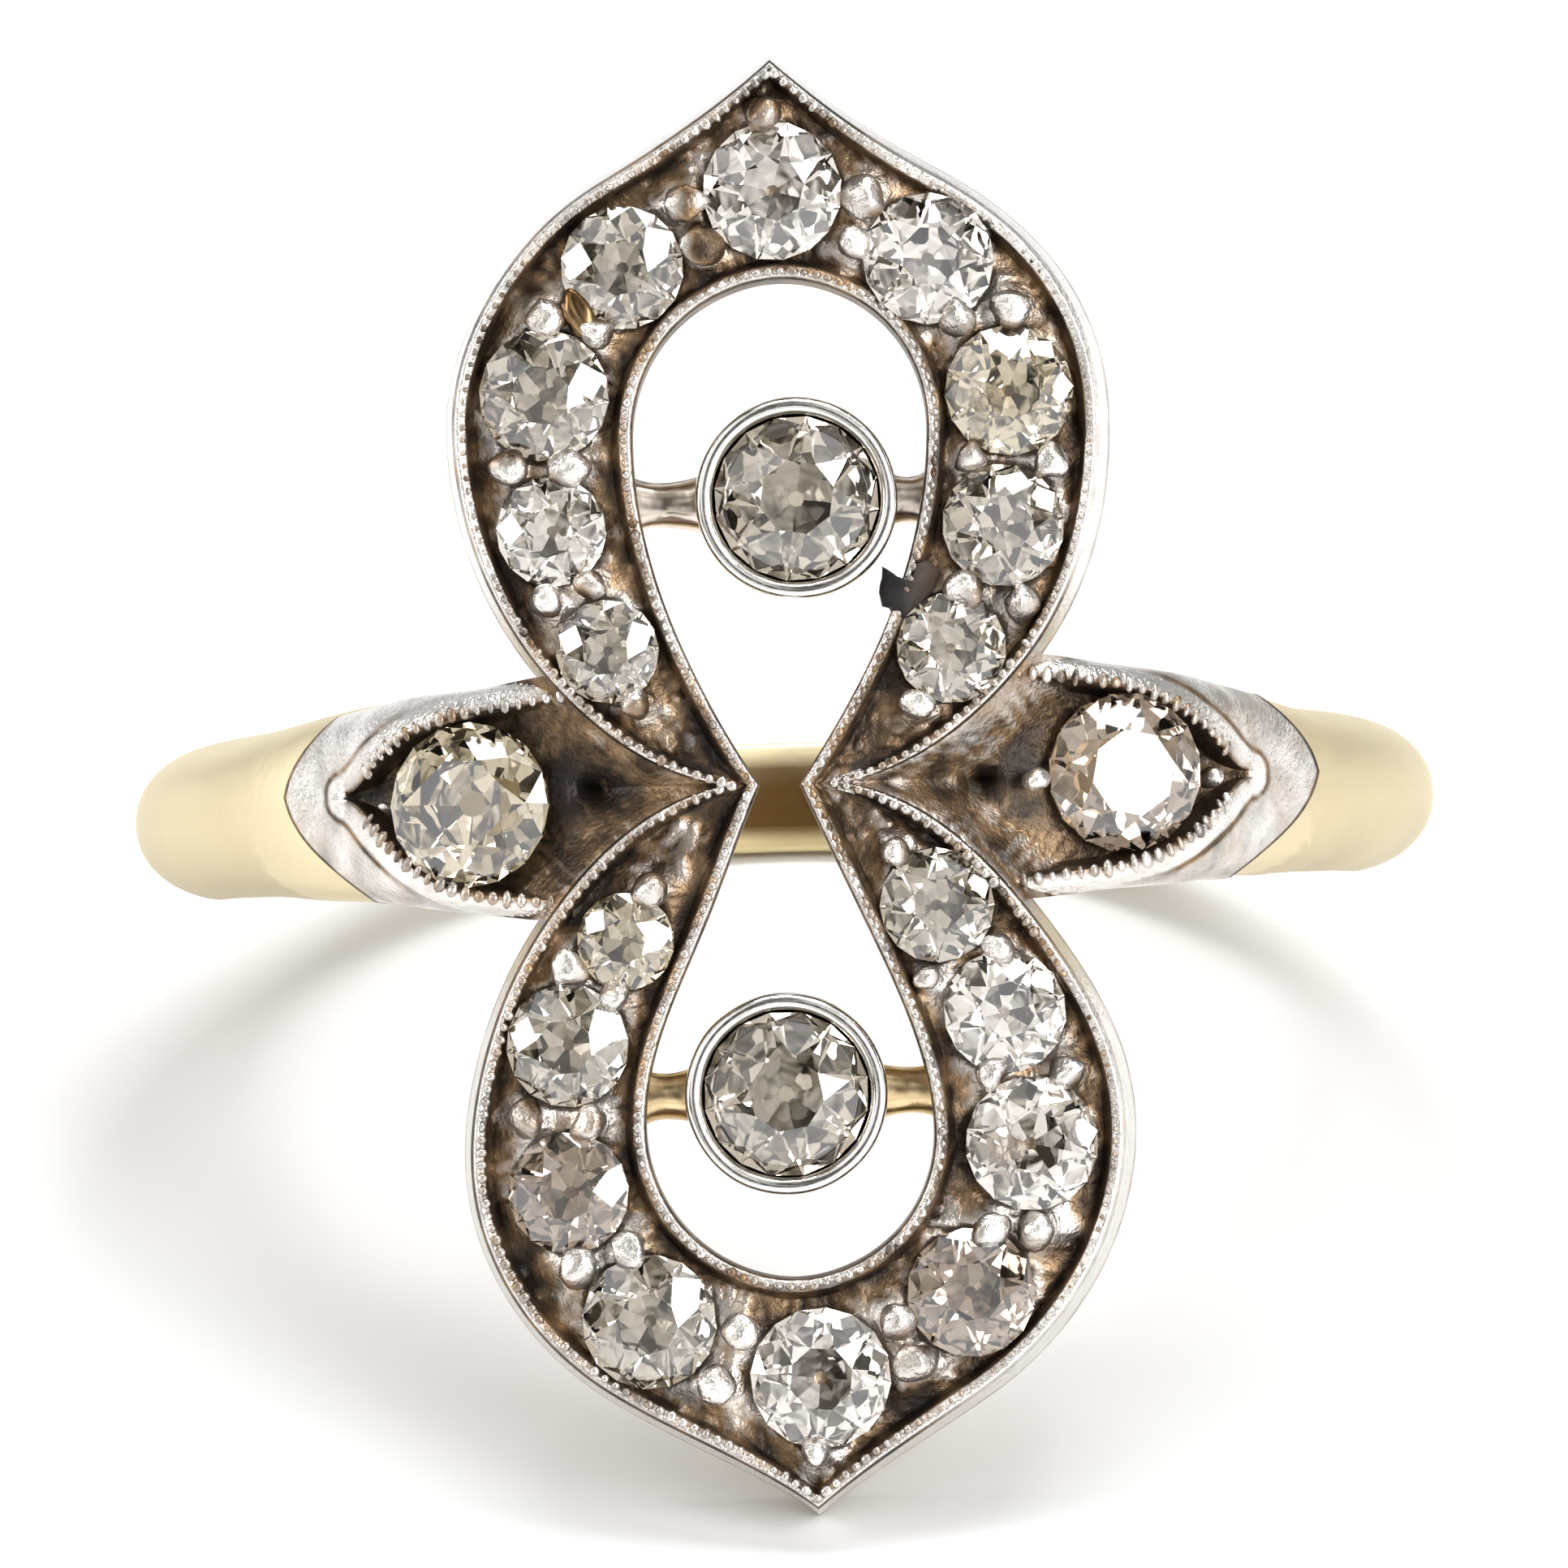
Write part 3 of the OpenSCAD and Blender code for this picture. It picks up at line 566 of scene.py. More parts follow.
def loops_silver():
    """Rims, channel and walls of both loops."""
    n, steps = len(outer_path), 23
    w, rim, one = across_w, rim_widths(), np.ones(len(outer_path))
    foot = np.minimum(RIM_W + 0.1, 0.44 * w)
    deep = CHANNEL_H * np.minimum(1, w / 1.2)
    lean = np.minimum(FLARE * (1 + 0.05 * outer_path[:, 0]), 0.8 * np.abs(outer_path[:, 1]))
    # The walls flare a little less at the lower tip, on which the ring rests
    lean = lean * (1 - 0.08 * np.exp(-((outer_path[:, 1] + LOWER_OUTER[-1][1]) / 0.8) ** 2))
    low = SILVER_Z + GAP - TOP_Z
    # Distance from the outer edge, height from the top of the rims, tarnish
    outside = [
        (-lean, low, 0.9), (-0.80 * lean, -0.80, 0.3), (-0.66 * lean, -0.62, 0.0),
        (-0.42 * lean, -0.40, 0.0), (-0.20 * lean, -0.24, 0.0), (-0.10 * lean, -0.15, 0.1),
        (-0.02 * lean, -0.12, 1.4), (0.12 * rim, -0.075, 1.3), (0.22 * rim, -0.012, 0.2),
        (0.36 * rim, -0.004, 0.1), (0.50 * rim, -0.015, 0.55), (0.62 * rim, -0.04, 0.8),
        (0.86 * rim, -0.06, 0.8), (rim, -0.10, 1.1), (rim + 0.015 * w / 2, -0.20, 1.3),
        (0.55 * rim + 0.45 * foot, -0.29, 1.3)]
    # Places in that list: the crease under the rim, the rim, its inner side, the channel's wall
    crease, crest, inner_side, channel_wall = (6, 7), range(8, 13), 10, 12
    floor = []
    # The floor's tone deepens towards both rims: painted shade under the rims, over the tarnish of the
    # channel
    for k in range(steps):
        share = k / (steps - 1)
        floor.append((foot + (w - 2 * foot) * share, None, 0.8 + 0.5 * (2 * share - 1) ** 4))
    inside = [(w - d, z, t * 0.95 + 0.1) for d, z, t in outside[:crease[1]:-1]]
    inside += [
        (w - 0.02 * rim, -0.06, 1.3), (w, -0.14, 1.4), (w, -0.45, 1.2), (w, -0.8, 1.1),
        (w, low, 1.1), (0.66 * w, low, 0.8), (0.33 * w, low, 0.8)]
    nodes = outside + floor + inside
    m = len(nodes)
    points = np.zeros((n, m, 3))
    tarnish_and_shade = np.zeros((n, m))
    cups = range(channel_wall, len(outside) + steps + 4)
    wear = rubbed(outer_path)
    for j, (d, z, t) in enumerate(nodes):
        xy = outer_path + across * (d * one)[:, None]
        height = -deep if z is None else z * one
        if z is not None and j >= inner_side and low < z < -0.2:
            height = np.maximum(height, -deep)
        tone = t * one
        if j in crest:
            tone = tone * (1 - 0.95 * wear)
        elif j in crease:
            tone = tone * (1 - 0.9 * wear)
        if z is None:
            # The floor rises and brightens towards the grains, and is darkest near the waist
            mound = beside_grains(xy[:, 0], xy[:, 1])
            height = height + 0.24 * mound
            tone = tone - 0.42 * mound + 0.3 * (np.abs(xy[:, 1]) < 1.9)
        if j in cups:
            seated = seat_floor(xy[:, 0], xy[:, 1])
            spots = 0.75 + 0.5 * hand_noise(np.column_stack([xy, 0 * one]), 1.9, 15)
            tone = np.where(seated < height, spots, tone)
            height = np.minimum(height, seated)
        points[:, j, :2] = xy
        points[:, j, 2] = height
        tarnish_and_shade[:, j] = tone
    # Tool marks in the channel, and a faint unevenness of the rims and walls
    flat = points.reshape(-1, 3)
    rough = 0.034 * hand_noise(flat, 2.9, 1) + 0.075 * np.abs(hand_noise(flat, 5.5, 2)) - 0.016
    soft = 0.012 * hand_noise(flat, 2.1, 3)
    cut, above = np.zeros((n, m)), np.ones((n, m))
    cut[:, len(outside) - 1:len(outside) + steps + 1] = 1
    above[:, [0, -1, -2, -3]] = 0
    cut, above = cut.reshape(-1), above.reshape(-1)
    flat[:, 2] += cut * rough + (1 - cut) * above * np.minimum(soft, 0)
    # The tips are a little rubbed down
    flat[:, 2] -= 0.05 * np.exp(-((np.abs(flat[:, 1]) - LOOP_END_Y) / 0.22) ** 2)
    flat[:, 2] = arched(flat[:, 0], TOP_Z + flat[:, 2])
    tarnish_and_shade = tarnish_and_shade.reshape(-1) + (0.12 + 0.35 * cut) * hand_noise(flat, 2.6, 4) - 6 * cut * rough
    tarnish_and_shade = np.clip(tarnish_and_shade, 0, 1.5)
    return piece("loops_silver", flat, grid_faces(n, m), SILVER, tarnish_and_shade, sharp=50)


# Silver of the shoulders

def side_share(side):
    """Length of a shoulder as a share of the right one."""
    return LEFT_SHARE if side < 0 else 1


def stone_frame(side, angle, y):
    """Centre and axes of a shoulder stone, in the frame of the head."""
    r = row_at(SHOULDER_ROWS, angle / side_share(side))[1] - 0.3
    a = math.radians(side * angle)
    lean = math.radians(side * STONE_LEAN)
    centre = np.array([r * math.sin(a), y, r * math.cos(a)])
    out = np.array([math.sin(lean), 0, math.cos(lean)])
    flat = np.array([math.cos(lean), 0, -math.sin(lean)])
    return centre, flat, out


join_curve = edge_curve(JOIN_EDGE, 1)


def join_angle(y, r, share):
    """Angle at which the silver of a shoulder ends."""
    x = np.interp(abs(y - JOIN_Y), join_curve[::-1, 1], join_curve[::-1, 0]) * share
    return math.degrees(math.asin(min(1, x / r)))


def beside_loops(points):
    """Distance of points from the outer edge of the loops, negative inside it."""
    gap = np.full(len(points), np.inf)
    inside = np.zeros(len(points), bool)
    for a, b in zip(outer_path, np.roll(outer_path, -1, axis=0)):
        gap = np.minimum(gap, np.linalg.norm(points - a, axis=1))
        if a[1] != b[1]:
            crosses = (a[1] > points[:, 1]) != (b[1] > points[:, 1])
            at_x = a[0] + (points[:, 1] - a[1]) * (b[0] - a[0]) / (b[1] - a[1])
            inside ^= crosses & (points[:, 0] < at_x)
    return np.where(inside, -gap, gap)


def shoulder_row(a):
    """Row of the shoulder at an angle, from the waist outwards."""
    if a < VALLEY_END:
        return row_at(VALLEY_ROWS, max(a, VALLEY_START))
    if a < SHOULDER_START:
        t = (a - VALLEY_END) / (SHOULDER_START - VALLEY_END)
        return (1 - t) * np.array(VALLEY_ROWS[-1], float) + t * np.array(SHOULDER_ROWS[0], float)
    return row_at(SHOULDER_ROWS, a)


def shoulder_crown(row, y):
    """Radius of the rounded top of a shoulder at y from its middle."""
    _, rim_r, half_w, square, _, _ = row
    root = SEAM_R - 0.22
    return root + (rim_r - root) * max(0, 1 - min(1, abs(y) / half_w) ** square) ** (1 / square)


def shoulder_spot(row, kind, f):
    """y, radius, tarnish and share of the outer shift of a node in half a shoulder's section."""
    half_w, recess_w, deep = row[2], row[4], max(0, row[5])
    is_deep = deep > 0.02
    lip = recess_w + 0.05
    if kind == "wall":
        y = lip + (half_w - lip) * f
        return y, shoulder_crown(row, y), 0.6 * (1 - f) ** 8 * is_deep, f
    if kind == "edge":
        return recess_w + 0.02, shoulder_crown(row, recess_w) - min(0.03, deep), 0.9 * is_deep, 0
    if kind == "inner":
        r = shoulder_crown(row, recess_w) - max(min(0.05, deep), deep * f)
        return recess_w * (1 - 0.06 * f), r, 1.4 * is_deep, 0
    y = 0.9 * recess_w * f
    return y, shoulder_crown(row, y) - deep, 1.2 * is_deep, 0


def recess_edge(side):
    """Both edges of a shoulder's recess, seen from above."""
    edge = []
    for a in np.arange(SHOULDER_START, 40.6, 0.25):
        row = row_at(SHOULDER_ROWS, a)
        signed = side * a * side_share(side)
        for sign in (-1, 1):
            edge.append((row[1] * math.sin(math.radians(signed)), sign * row[4] + recess_shift(signed)))
    return np.array(edge)


def shoulder_silver(side):
    """Leaf-shaped setting on one shoulder, with the valley up to the waist."""
    left, share = side < 0, side_share(side)
    angle, stone_y, stone_d = [row[1:] for row in SHOULDER_STONES if row[0] == side][0]
    centre, flat, out = stone_frame(side, angle, stone_y)
    walls = (1, 0.985, 0.95, 0.9, 0.83, 0.76, 0.69, 0.62, 0.55, 0.48, 0.42, 0.36, 0.3, 0.24, 0.18, 0.12,
             0.08, 0.04, 0)
    half = ([("wall", f) for f in walls] + [("edge", 0)] + [("inner", f) for f in (0.1, 0.45, 0.8)]
            + [("floor", f) for f in (1, 0.86, 0.72, 0.58, 0.44, 0.3, 0.15)])
    nodes = [(-1, k, f) for k, f in half] + [(1, "floor", 0)] + [(1, k, f) for k, f in half[::-1]]
    stations = 180
    # The angle of each node is found by steps, because the gold's edge depends on y and radius
    angles, ys, rs, dull = (np.zeros((stations, len(nodes))) for _ in range(4))
    for s in range(stations):
        t = s / (stations - 1)
        for j, (sign, kind, f) in enumerate(nodes):
            a = VALLEY_START + 39 * t
            for turn in range(4):
                half_y, r, tone, outer = shoulder_spot(shoulder_row(a / share), kind, f)
                inside = recess_shift(side * a)
                y = sign * half_y + inside + (shank_shift(side * a) - inside) * outer
                if turn < 3:
                    a = VALLEY_START + (join_angle(y, max(r, SEAM_R), share) - VALLEY_START) * t
            angles[s, j], ys[s, j], rs[s, j], dull[s, j] = a, y, r, tone
    rad = np.radians(side * angles)
    top = np.stack([rs * np.sin(rad), ys, rs * np.cos(rad)], axis=2).reshape(-1, 3)
    base = np.stack([SEAM_R * np.sin(rad), ys, SEAM_R * np.cos(rad)], axis=2).reshape(-1, 3)
    kinds = np.array([k == "floor" for _, k, _ in nodes])
    floor = np.tile(kinds, stations) & (np.abs(rad.reshape(-1)) < math.radians(40))
    dull = dull.reshape(-1)
    # Satin outside, with a bright bevel and a dark crease round the recess and a dark line at the gold;
    # on the left shoulder the satin carries a painted light gradient, lighter towards its upper side
    from_edge = np.min(np.linalg.norm(top[:, None, :2] - recess_edge(side)[None], axis=2), axis=1)
    wall = np.tile(np.array([k == "wall" and f > 0.03 for _, k, f in nodes]), stations)
    wall |= np.abs(angles.reshape(-1)) > 40.3 * share
    # Painted light: the left shoulder's satin grows lighter towards its upper side
    satin_tone_and_light = 0.24 - 0.12 * top[:, 1] if left else 0.42
    satin_tone_and_light = satin_tone_and_light + 0.16 * hand_noise(top, 0.8, 22) + 0.16 * hand_noise(top, 3.1, 23)
    satin_tone_and_light = np.where(from_edge < 0.27, 0.05, satin_tone_and_light)
    crease = np.exp(-((from_edge - 0.31) / 0.035) ** 2) * np.clip((np.abs(top[:, 0]) - 5.2) / 0.6, 0, 1)
    rows_end = np.repeat(np.arange(stations) >= stations - 2, len(nodes))
    dull = np.where(wall, np.maximum(dull, satin_tone_and_light + 0.9 * crease + 0.9 * rows_end), dull)
    dull[np.abs(angles.reshape(-1)) < 15 * share] = 1.1
    # Tool marks on the floor, sloping walls down from both loops, and the pit where these meet
    marks = 0.045 * hand_noise(top * [0.7, 2.6, 0.7], 3.0, 5) + 0.02 * hand_noise(top, 9.0, 6)
    top[:, 2] += np.where(floor, marks, 0)
    dull += np.where(floor, (0.2 if left else 0) - 7 * marks, 0)
    beside = beside_loops(top[:, :2])
    along = top @ np.array([1, 0.6, 0])
    streaks = 0.03 * hand_noise(np.column_stack([beside * 5.2, along * 0.5, 0 * along]), 2.0, 8 + side)
    slope = arched(top[:, 0], TOP_Z) - 0.13 - 0.95 * np.maximum(beside, 0) + streaks
    near = (beside > -0.14) & (beside < 1.0)
    raised = near & (slope > top[:, 2])
    top[:, 2] = np.where(raised, slope, top[:, 2])
    settled = (0.88 if left else 0.56) + 0.8 * np.maximum(beside, 0) - 16 * streaks
    dull = np.where(raised, np.clip(settled, 0.15, 1.3), dull)
    pit = np.exp(-((np.abs(top[:, 0]) - 2.75) / 0.22) ** 2 - (top[:, 1] / 0.11) ** 2)
    top[:, 2] -= 0.45 * pit
    dark = np.exp(-((np.abs(top[:, 0]) - 3.1) / 0.75) ** 2 - (top[:, 1] / 0.34) ** 2)
    dull = np.where(raised | floor, dull + (0.75 if left else 0.4) * dark + pit, dull)
    # Cup under the stone
    rel = top - centre
    rho = np.hypot(rel @ flat, rel[:, 1])
    over = rel @ out - (-0.20 - CUP_SLOPE * np.maximum(0, stone_d / 2 - rho))
    cup = (rho < stone_d / 2 + 0.03) & (over > 0)
    top[cup] -= over[cup, None] * out
    dull[cup] = 0.75 + 0.5 * hand_noise(top[cup], 1.9, 16)
    top[:, 2] = np.maximum(top[:, 2], base[:, 2] + 0.05)
    m = 2 * len(nodes)
    base = base.reshape(stations, -1, 3)[:, ::-1]
    points = np.concatenate([top.reshape(stations, -1, 3), base], axis=1)
    under = np.full((stations, len(nodes)), 0.6)
    tarnish_and_shade = np.concatenate([dull.reshape(stations, -1), under], axis=1).reshape(-1)
    points = points.reshape(-1, 3)
    tarnish_and_shade = np.clip(tarnish_and_shade + 0.12 * hand_noise(points, 2.1, 7), 0, 1.5)
    faces = grid_faces(stations, m, ring=False)
    faces += paired_cap(0, m, flip=True) + paired_cap((stations - 1) * m, m, flip=False)
    return piece("shoulder_silver", points, faces, SILVER, tarnish_and_shade, sharp=45)


# Milgrain and grains

# The one grain that is dark all over
DARK_GRAIN = (-0.94, 7.52)


class Growth:
    """A Geometry Nodes tree that puts a bead on points, with named inputs for its sizes."""

    def __init__(self, name, inputs):
        self.tree = bpy.data.node_groups.new(name, "GeometryNodeTree")
        self.socket("Geometry", "NodeSocketGeometry")
        for key, value in inputs.items():
            self.socket(key, "NodeSocketInt" if key == "Seed" else "NodeSocketFloat", value)
        self.socket("Finish", "NodeSocketMaterial")
        self.socket("Geometry", "NodeSocketGeometry", way="OUTPUT")
        self.link = self.tree.links.new
        self.given = self.new("GroupInput", "NodeGroupInput").outputs

    def socket(self, name, kind, value=None, way="INPUT"):
        socket = self.tree.interface.new_socket(name, in_out=way, socket_type=kind)
        if value is not None:
            socket.default_value = value

    def new(self, label, kind, **values):
        n = self.tree.nodes.new(kind)
        n.label = label
        for key, value in values.items():
            if hasattr(n, key):
                setattr(n, key, value)
            else:
                n.inputs[key].default_value = value
        return n

    def attribute(self, name, kind):
        return self.new(name, "GeometryNodeInputNamedAttribute", data_type=kind, Name=name).outputs[0]

    def shifted(self, label, operation, first, second):
        """A Math node on two numbers, each a value or an output of the tree."""
        n = self.new(label, "ShaderNodeMath", operation=operation)
        for socket, value in zip(n.inputs, (first, second)):
            if isinstance(value, bpy.types.NodeSocket):
                self.link(value, socket)
            else:
                socket.default_value = value
        return n.outputs[0]

    def random_vector(self, lowest, highest):
        n = self.new("Uneven", "FunctionNodeRandomValue", data_type="FLOAT_VECTOR")
        self.link(lowest, n.inputs[0])
        self.link(highest, n.inputs[1])
        self.link(self.given["Seed"], n.inputs["Seed"])
        return n.outputs[0]

    def finished(self, points, rotation, scale, segments, rings):
        """A bead on each point, made real, smooth and given its finish."""
        bead = self.new("Bead", "GeometryNodeMeshUVSphere", Segments=segments, Rings=rings, Radius=0.5)
        place = self.new("Place", "GeometryNodeInstanceOnPoints")
        real = self.new("Real", "GeometryNodeRealizeInstances")
        smooth = self.new("Smooth", "GeometryNodeSetShadeSmooth")
        finish = self.new("Finish", "GeometryNodeSetMaterial")
        self.link(points, place.inputs["Points"])
        self.link(bead.outputs["Mesh"], place.inputs["Instance"])
        self.link(rotation, place.inputs["Rotation"])
        self.link(scale, place.inputs["Scale"])
        self.link(place.outputs[0], real.inputs[0])
        self.link(real.outputs[0], smooth.inputs[0])
        self.link(smooth.outputs[0], finish.inputs["Geometry"])
        self.link(self.given["Finish"], finish.inputs["Material"])
        self.link(finish.outputs[0], self.new("GroupOutput", "NodeGroupOutput").inputs[0])
        return self.tree


def milgrain_tree():
    """Beads along the edges of a mesh, turned to its 'up' and worn by its 'width'."""
    g = Growth("milgrain", {"Pitch": 0.2, "Along": 0.2, "Across": 0.2, "Height": 0.2,
                            "Unevenness": 0.2, "Seed": 1})
    path = g.new("Path", "GeometryNodeMeshToCurve")
    row = g.new("Row", "GeometryNodeResampleCurve", mode="LENGTH")
    tangent = g.new("Tangent", "GeometryNodeInputTangent")
    stand = g.new("Stand", "FunctionNodeAlignRotationToVector", axis="Z")
    face = g.new("Face", "FunctionNodeAlignRotationToVector", axis="X", pivot_axis="Z")
    size = g.new("Size", "ShaderNodeCombineXYZ")
    scaled = g.new("Scaled", "ShaderNodeVectorMath", operation="MULTIPLY")
    worn = g.new("Worn", "ShaderNodeVectorMath", operation="SCALE")
    g.link(g.given["Geometry"], path.inputs[0])
    g.link(path.outputs[0], row.inputs["Curve"])
    g.link(g.given["Pitch"], row.inputs["Length"])
    g.link(g.attribute("up", "FLOAT_VECTOR"), stand.inputs["Vector"])
    g.link(stand.outputs[0], face.inputs["Rotation"])
    g.link(tangent.outputs[0], face.inputs["Vector"])
    for k, name in enumerate(("Along", "Across", "Height")):
        g.link(g.given[name], size.inputs[k])
    lowest = g.shifted("Lowest", "SUBTRACT", 1.0, g.given["Unevenness"])
    highest = g.shifted("Highest", "ADD", 1.0, g.given["Unevenness"])
    g.link(size.outputs[0], scaled.inputs[0])
    g.link(g.random_vector(lowest, highest), scaled.inputs[1])
    g.link(scaled.outputs[0], worn.inputs[0])
    g.link(g.attribute("width", "FLOAT"), worn.inputs["Scale"])
    return g.finished(row.outputs[0], face.outputs[0], worn.outputs[0], segments=8, rings=5)


def grain_tree():
    """Raised grains on the points of a mesh, each with its own 'width', swaying from its 'up'."""
    g = Growth("grains", {"Height": 0.5, "Lean": 0.3, "Seed": 1})
    leaning = g.new("Leaning", "ShaderNodeVectorMath")
    stand = g.new("Stand", "FunctionNodeAlignRotationToVector", axis="Z")
    size = g.new("Size", "ShaderNodeCombineXYZ")
    lowest = g.shifted("Lowest", "MULTIPLY", g.given["Lean"], -1)
    g.link(g.attribute("up", "FLOAT_VECTOR"), leaning.inputs[0])
    g.link(g.random_vector(lowest, g.given["Lean"]), leaning.inputs[1])
    g.link(leaning.outputs[0], stand.inputs["Vector"])
    for socket, value in zip(size.inputs, [g.attribute("width", "FLOAT")] * 2 + [g.given["Height"]]):
        g.link(value, socket)
    return g.finished(g.given["Geometry"], stand.outputs[0], size.outputs[0], segments=16, rings=10)


def grown(name, points, ups, widths, tree, settings, depth, edges=(), uneven=0.0, patchy=0.5):
    """The result of a tree on points in the frame of the head, as a plain mesh of the resting ring.

    Its tarnish grows from the crest of each bead or grain to depth millimetres below it."""
    guide = bpy.data.meshes.new(name + "_guide")
    guide.from_pydata([tuple(p) for p in points], list(edges), [])
    tell(guide, "up", "FLOAT_VECTOR", ups)
    tell(guide, "width", "FLOAT", widths)
    o = placed(name + "_guide", guide)
    grow = o.modifiers.new("grow", "NODES")
    grow.node_group = tree
    sockets = {s.name: s.identifier for s in tree.interface.items_tree if s.in_out == "INPUT"}
    for key, value in settings.items():
        grow[sockets[key]] = value
    bpy.context.view_layer.update()
    result = evaluated(o)
    o.modifiers.remove(grow)
    bpy.data.objects.remove(o)
    co = np.zeros(len(result.vertices) * 3, np.float32)
    result.vertices.foreach_get("co", co)
    co = co.reshape(-1, 3).astype(float)
    co += uneven * np.stack([hand_noise(co, 3.6, s) for s in (41, 42, 43)], axis=1)
    # Height of each point over the guide, worked out a few thousand points at a time
    points, ups = np.array(points, float), np.array(ups, float)
    below, some = np.zeros(len(co)), 4000
    for start in range(0, len(co), some):
        part = co[start:start + some]
        nearest = np.argmin(np.linalg.norm(part[:, None] - points[None], axis=2), axis=1)
        below[start:start + some] = np.sum((part - points[nearest]) * ups[nearest], axis=1)
    dull = 0.20 + (depth / 2 - below) / depth + patchy * hand_noise(co, 3.1, 44)
    dark_x, dark_y = DARK_GRAIN
    dark = np.exp(-((co[:, 0] - dark_x) ** 2 + (co[:, 1] - dark_y) ** 2) / 0.05)
    tell(result, "tarnish_and_shade", "FLOAT", np.clip(dull + 1.1 * dark, 0, 1.3))
    result.vertices.foreach_set("co", laid_down(co).astype(np.float32).reshape(-1))
    result.update()
    for a in ("up", "width"):
        if result.attributes.get(a):
            result.attributes.remove(result.attributes[a])
    result.name = name
    return placed(name, result)


def arch_up(x):
    """Directions square to the arched head at x."""
    up = np.stack([np.asarray(x) / ARCH_R, np.zeros(len(x)), np.ones(len(x))], axis=1)
    return up / np.linalg.norm(up, axis=1)[:, None]


def loop_milgrain(name, across_share, height, settings, seed):
    """Beads along a rim of both loops, the outer one, or the inner one for a negative share.

    The outer row is worn on the right flanks and on the upper left one."""
    outer = across_share > 0
    d = across_share * rim_widths() + (0 if outer else across_w)
    xy = outer_path + across * d[:, None]
    n = len(xy)
    points = np.column_stack([xy, arched(xy[:, 0], TOP_Z + height)])
    edges = [(i, (i + 1) % n) for i in range(n)]
    widths = 1 - 0.62 * rubbed(xy) * outer + 0.12 * hand_noise(points, 1.1, seed)
    settings = {**settings, "Seed": seed, "Finish": SILVER}
    return grown(name, points, arch_up(xy[:, 0]), widths, MILGRAIN, settings, 0.3, edges)


def shoulder_milgrain(side):
    """Beads along both edges of a shoulder's recess, from the loops to near its tip."""
    points, ups, edges = [], [], []
    for sign in (-1, 1):
        start = len(points)
        for a in np.arange(18.5, 37.1, 0.5):
            row = row_at(SHOULDER_ROWS, a)
            signed = side * a * side_share(side)
            y = sign * (row[4] + 0.04) + recess_shift(signed)
            rad = math.radians(signed)
            r = row[1] - 0.035
            points.append((r * math.sin(rad), y, r * math.cos(rad)))
            ups.append((math.sin(rad), 0, math.cos(rad)))
        edges += [(i, i + 1) for i in range(start, len(points) - 1)]
    name = "left_shoulder_milgrain" if side < 0 else "right_shoulder_milgrain"
    settings = {"Pitch": 0.20, "Along": 0.14, "Across": 0.22, "Height": 0.09, "Unevenness": 0.3,
                "Seed": 31 + side, "Finish": SILVER}
    widths = 1 + 0.15 * hand_noise(points, 1.1, 30)
    return grown(name, points, ups, widths, MILGRAIN, settings, 0.3, edges)


def setting_grains():
    """Grains pressed over the edges of the stones."""
    rows = np.array(GRAINS)
    points = np.column_stack([rows[:, :2], arched(rows[:, 0], TOP_Z - 0.16)])
    ups, widths = arch_up(rows[:, 0]), rows[:, 2] * 1.15
    for x, y, r, w in SHOULDER_GRAINS:
        a = math.asin(x / r)
        points = np.concatenate([points, [(x, y, r * math.cos(a))]])
        ups = np.concatenate([ups, [(math.sin(a), 0, math.cos(a))]])
        widths = np.append(widths, w)
    settings = {"Height": 0.46, "Lean": 0.4, "Seed": 5, "Finish": SILVER}
    return grown("setting_grains", points, ups, widths, GRAIN, settings, 0.40, uneven=0.08, patchy=1.1)


# Gold, collets and what lies on the loops

def opening_side(side, y):
    """How far the opening in the gold reaches from the middle to one side, at y near the waist."""
    near = inner_path[(inner_path[:, 0] * side > 0) & (np.abs(inner_path[:, 1]) < 4)]
    near = near[np.argsort(near[:, 1])]
    return np.interp(y, near[:, 1], np.abs(near[:, 0])) + 0.06


def band_section(row):
    """Section of the shank as y and radius, from a row of BAND_ROWS: its outer curve, then the
    inside of the finger hole with softened edges."""
    _, w, r_out, square = row
    soft, sides = 0.10, []
    for k in range(29):
        g = math.radians(8 + 164 * k / 28)
        y = w * math.copysign(abs(math.cos(g)) ** (2 / square), math.cos(g))
        r = BAND_ROOT_R + (r_out - BAND_ROOT_R) * math.sin(g) ** (2 / square)
        if r > FINGER_R + soft:
            sides.append((y, r))
    edge_y = sides[0][0]
    for k in range(8):
        g = math.pi / 2 * k / 7
        sides.append((-edge_y + soft * (1 - math.cos(g)), FINGER_R + soft * (1 - math.sin(g))))
    for k in range(1, 8):
        sides.append((-edge_y + soft + (2 * edge_y - 2 * soft) * k / 8, FINGER_R))
    for k in range(8):
        g = math.pi / 2 * (1 - k / 7)
        sides.append((edge_y - soft * (1 - math.cos(g)), FINGER_R + soft * (1 - math.sin(g))))
    return sides


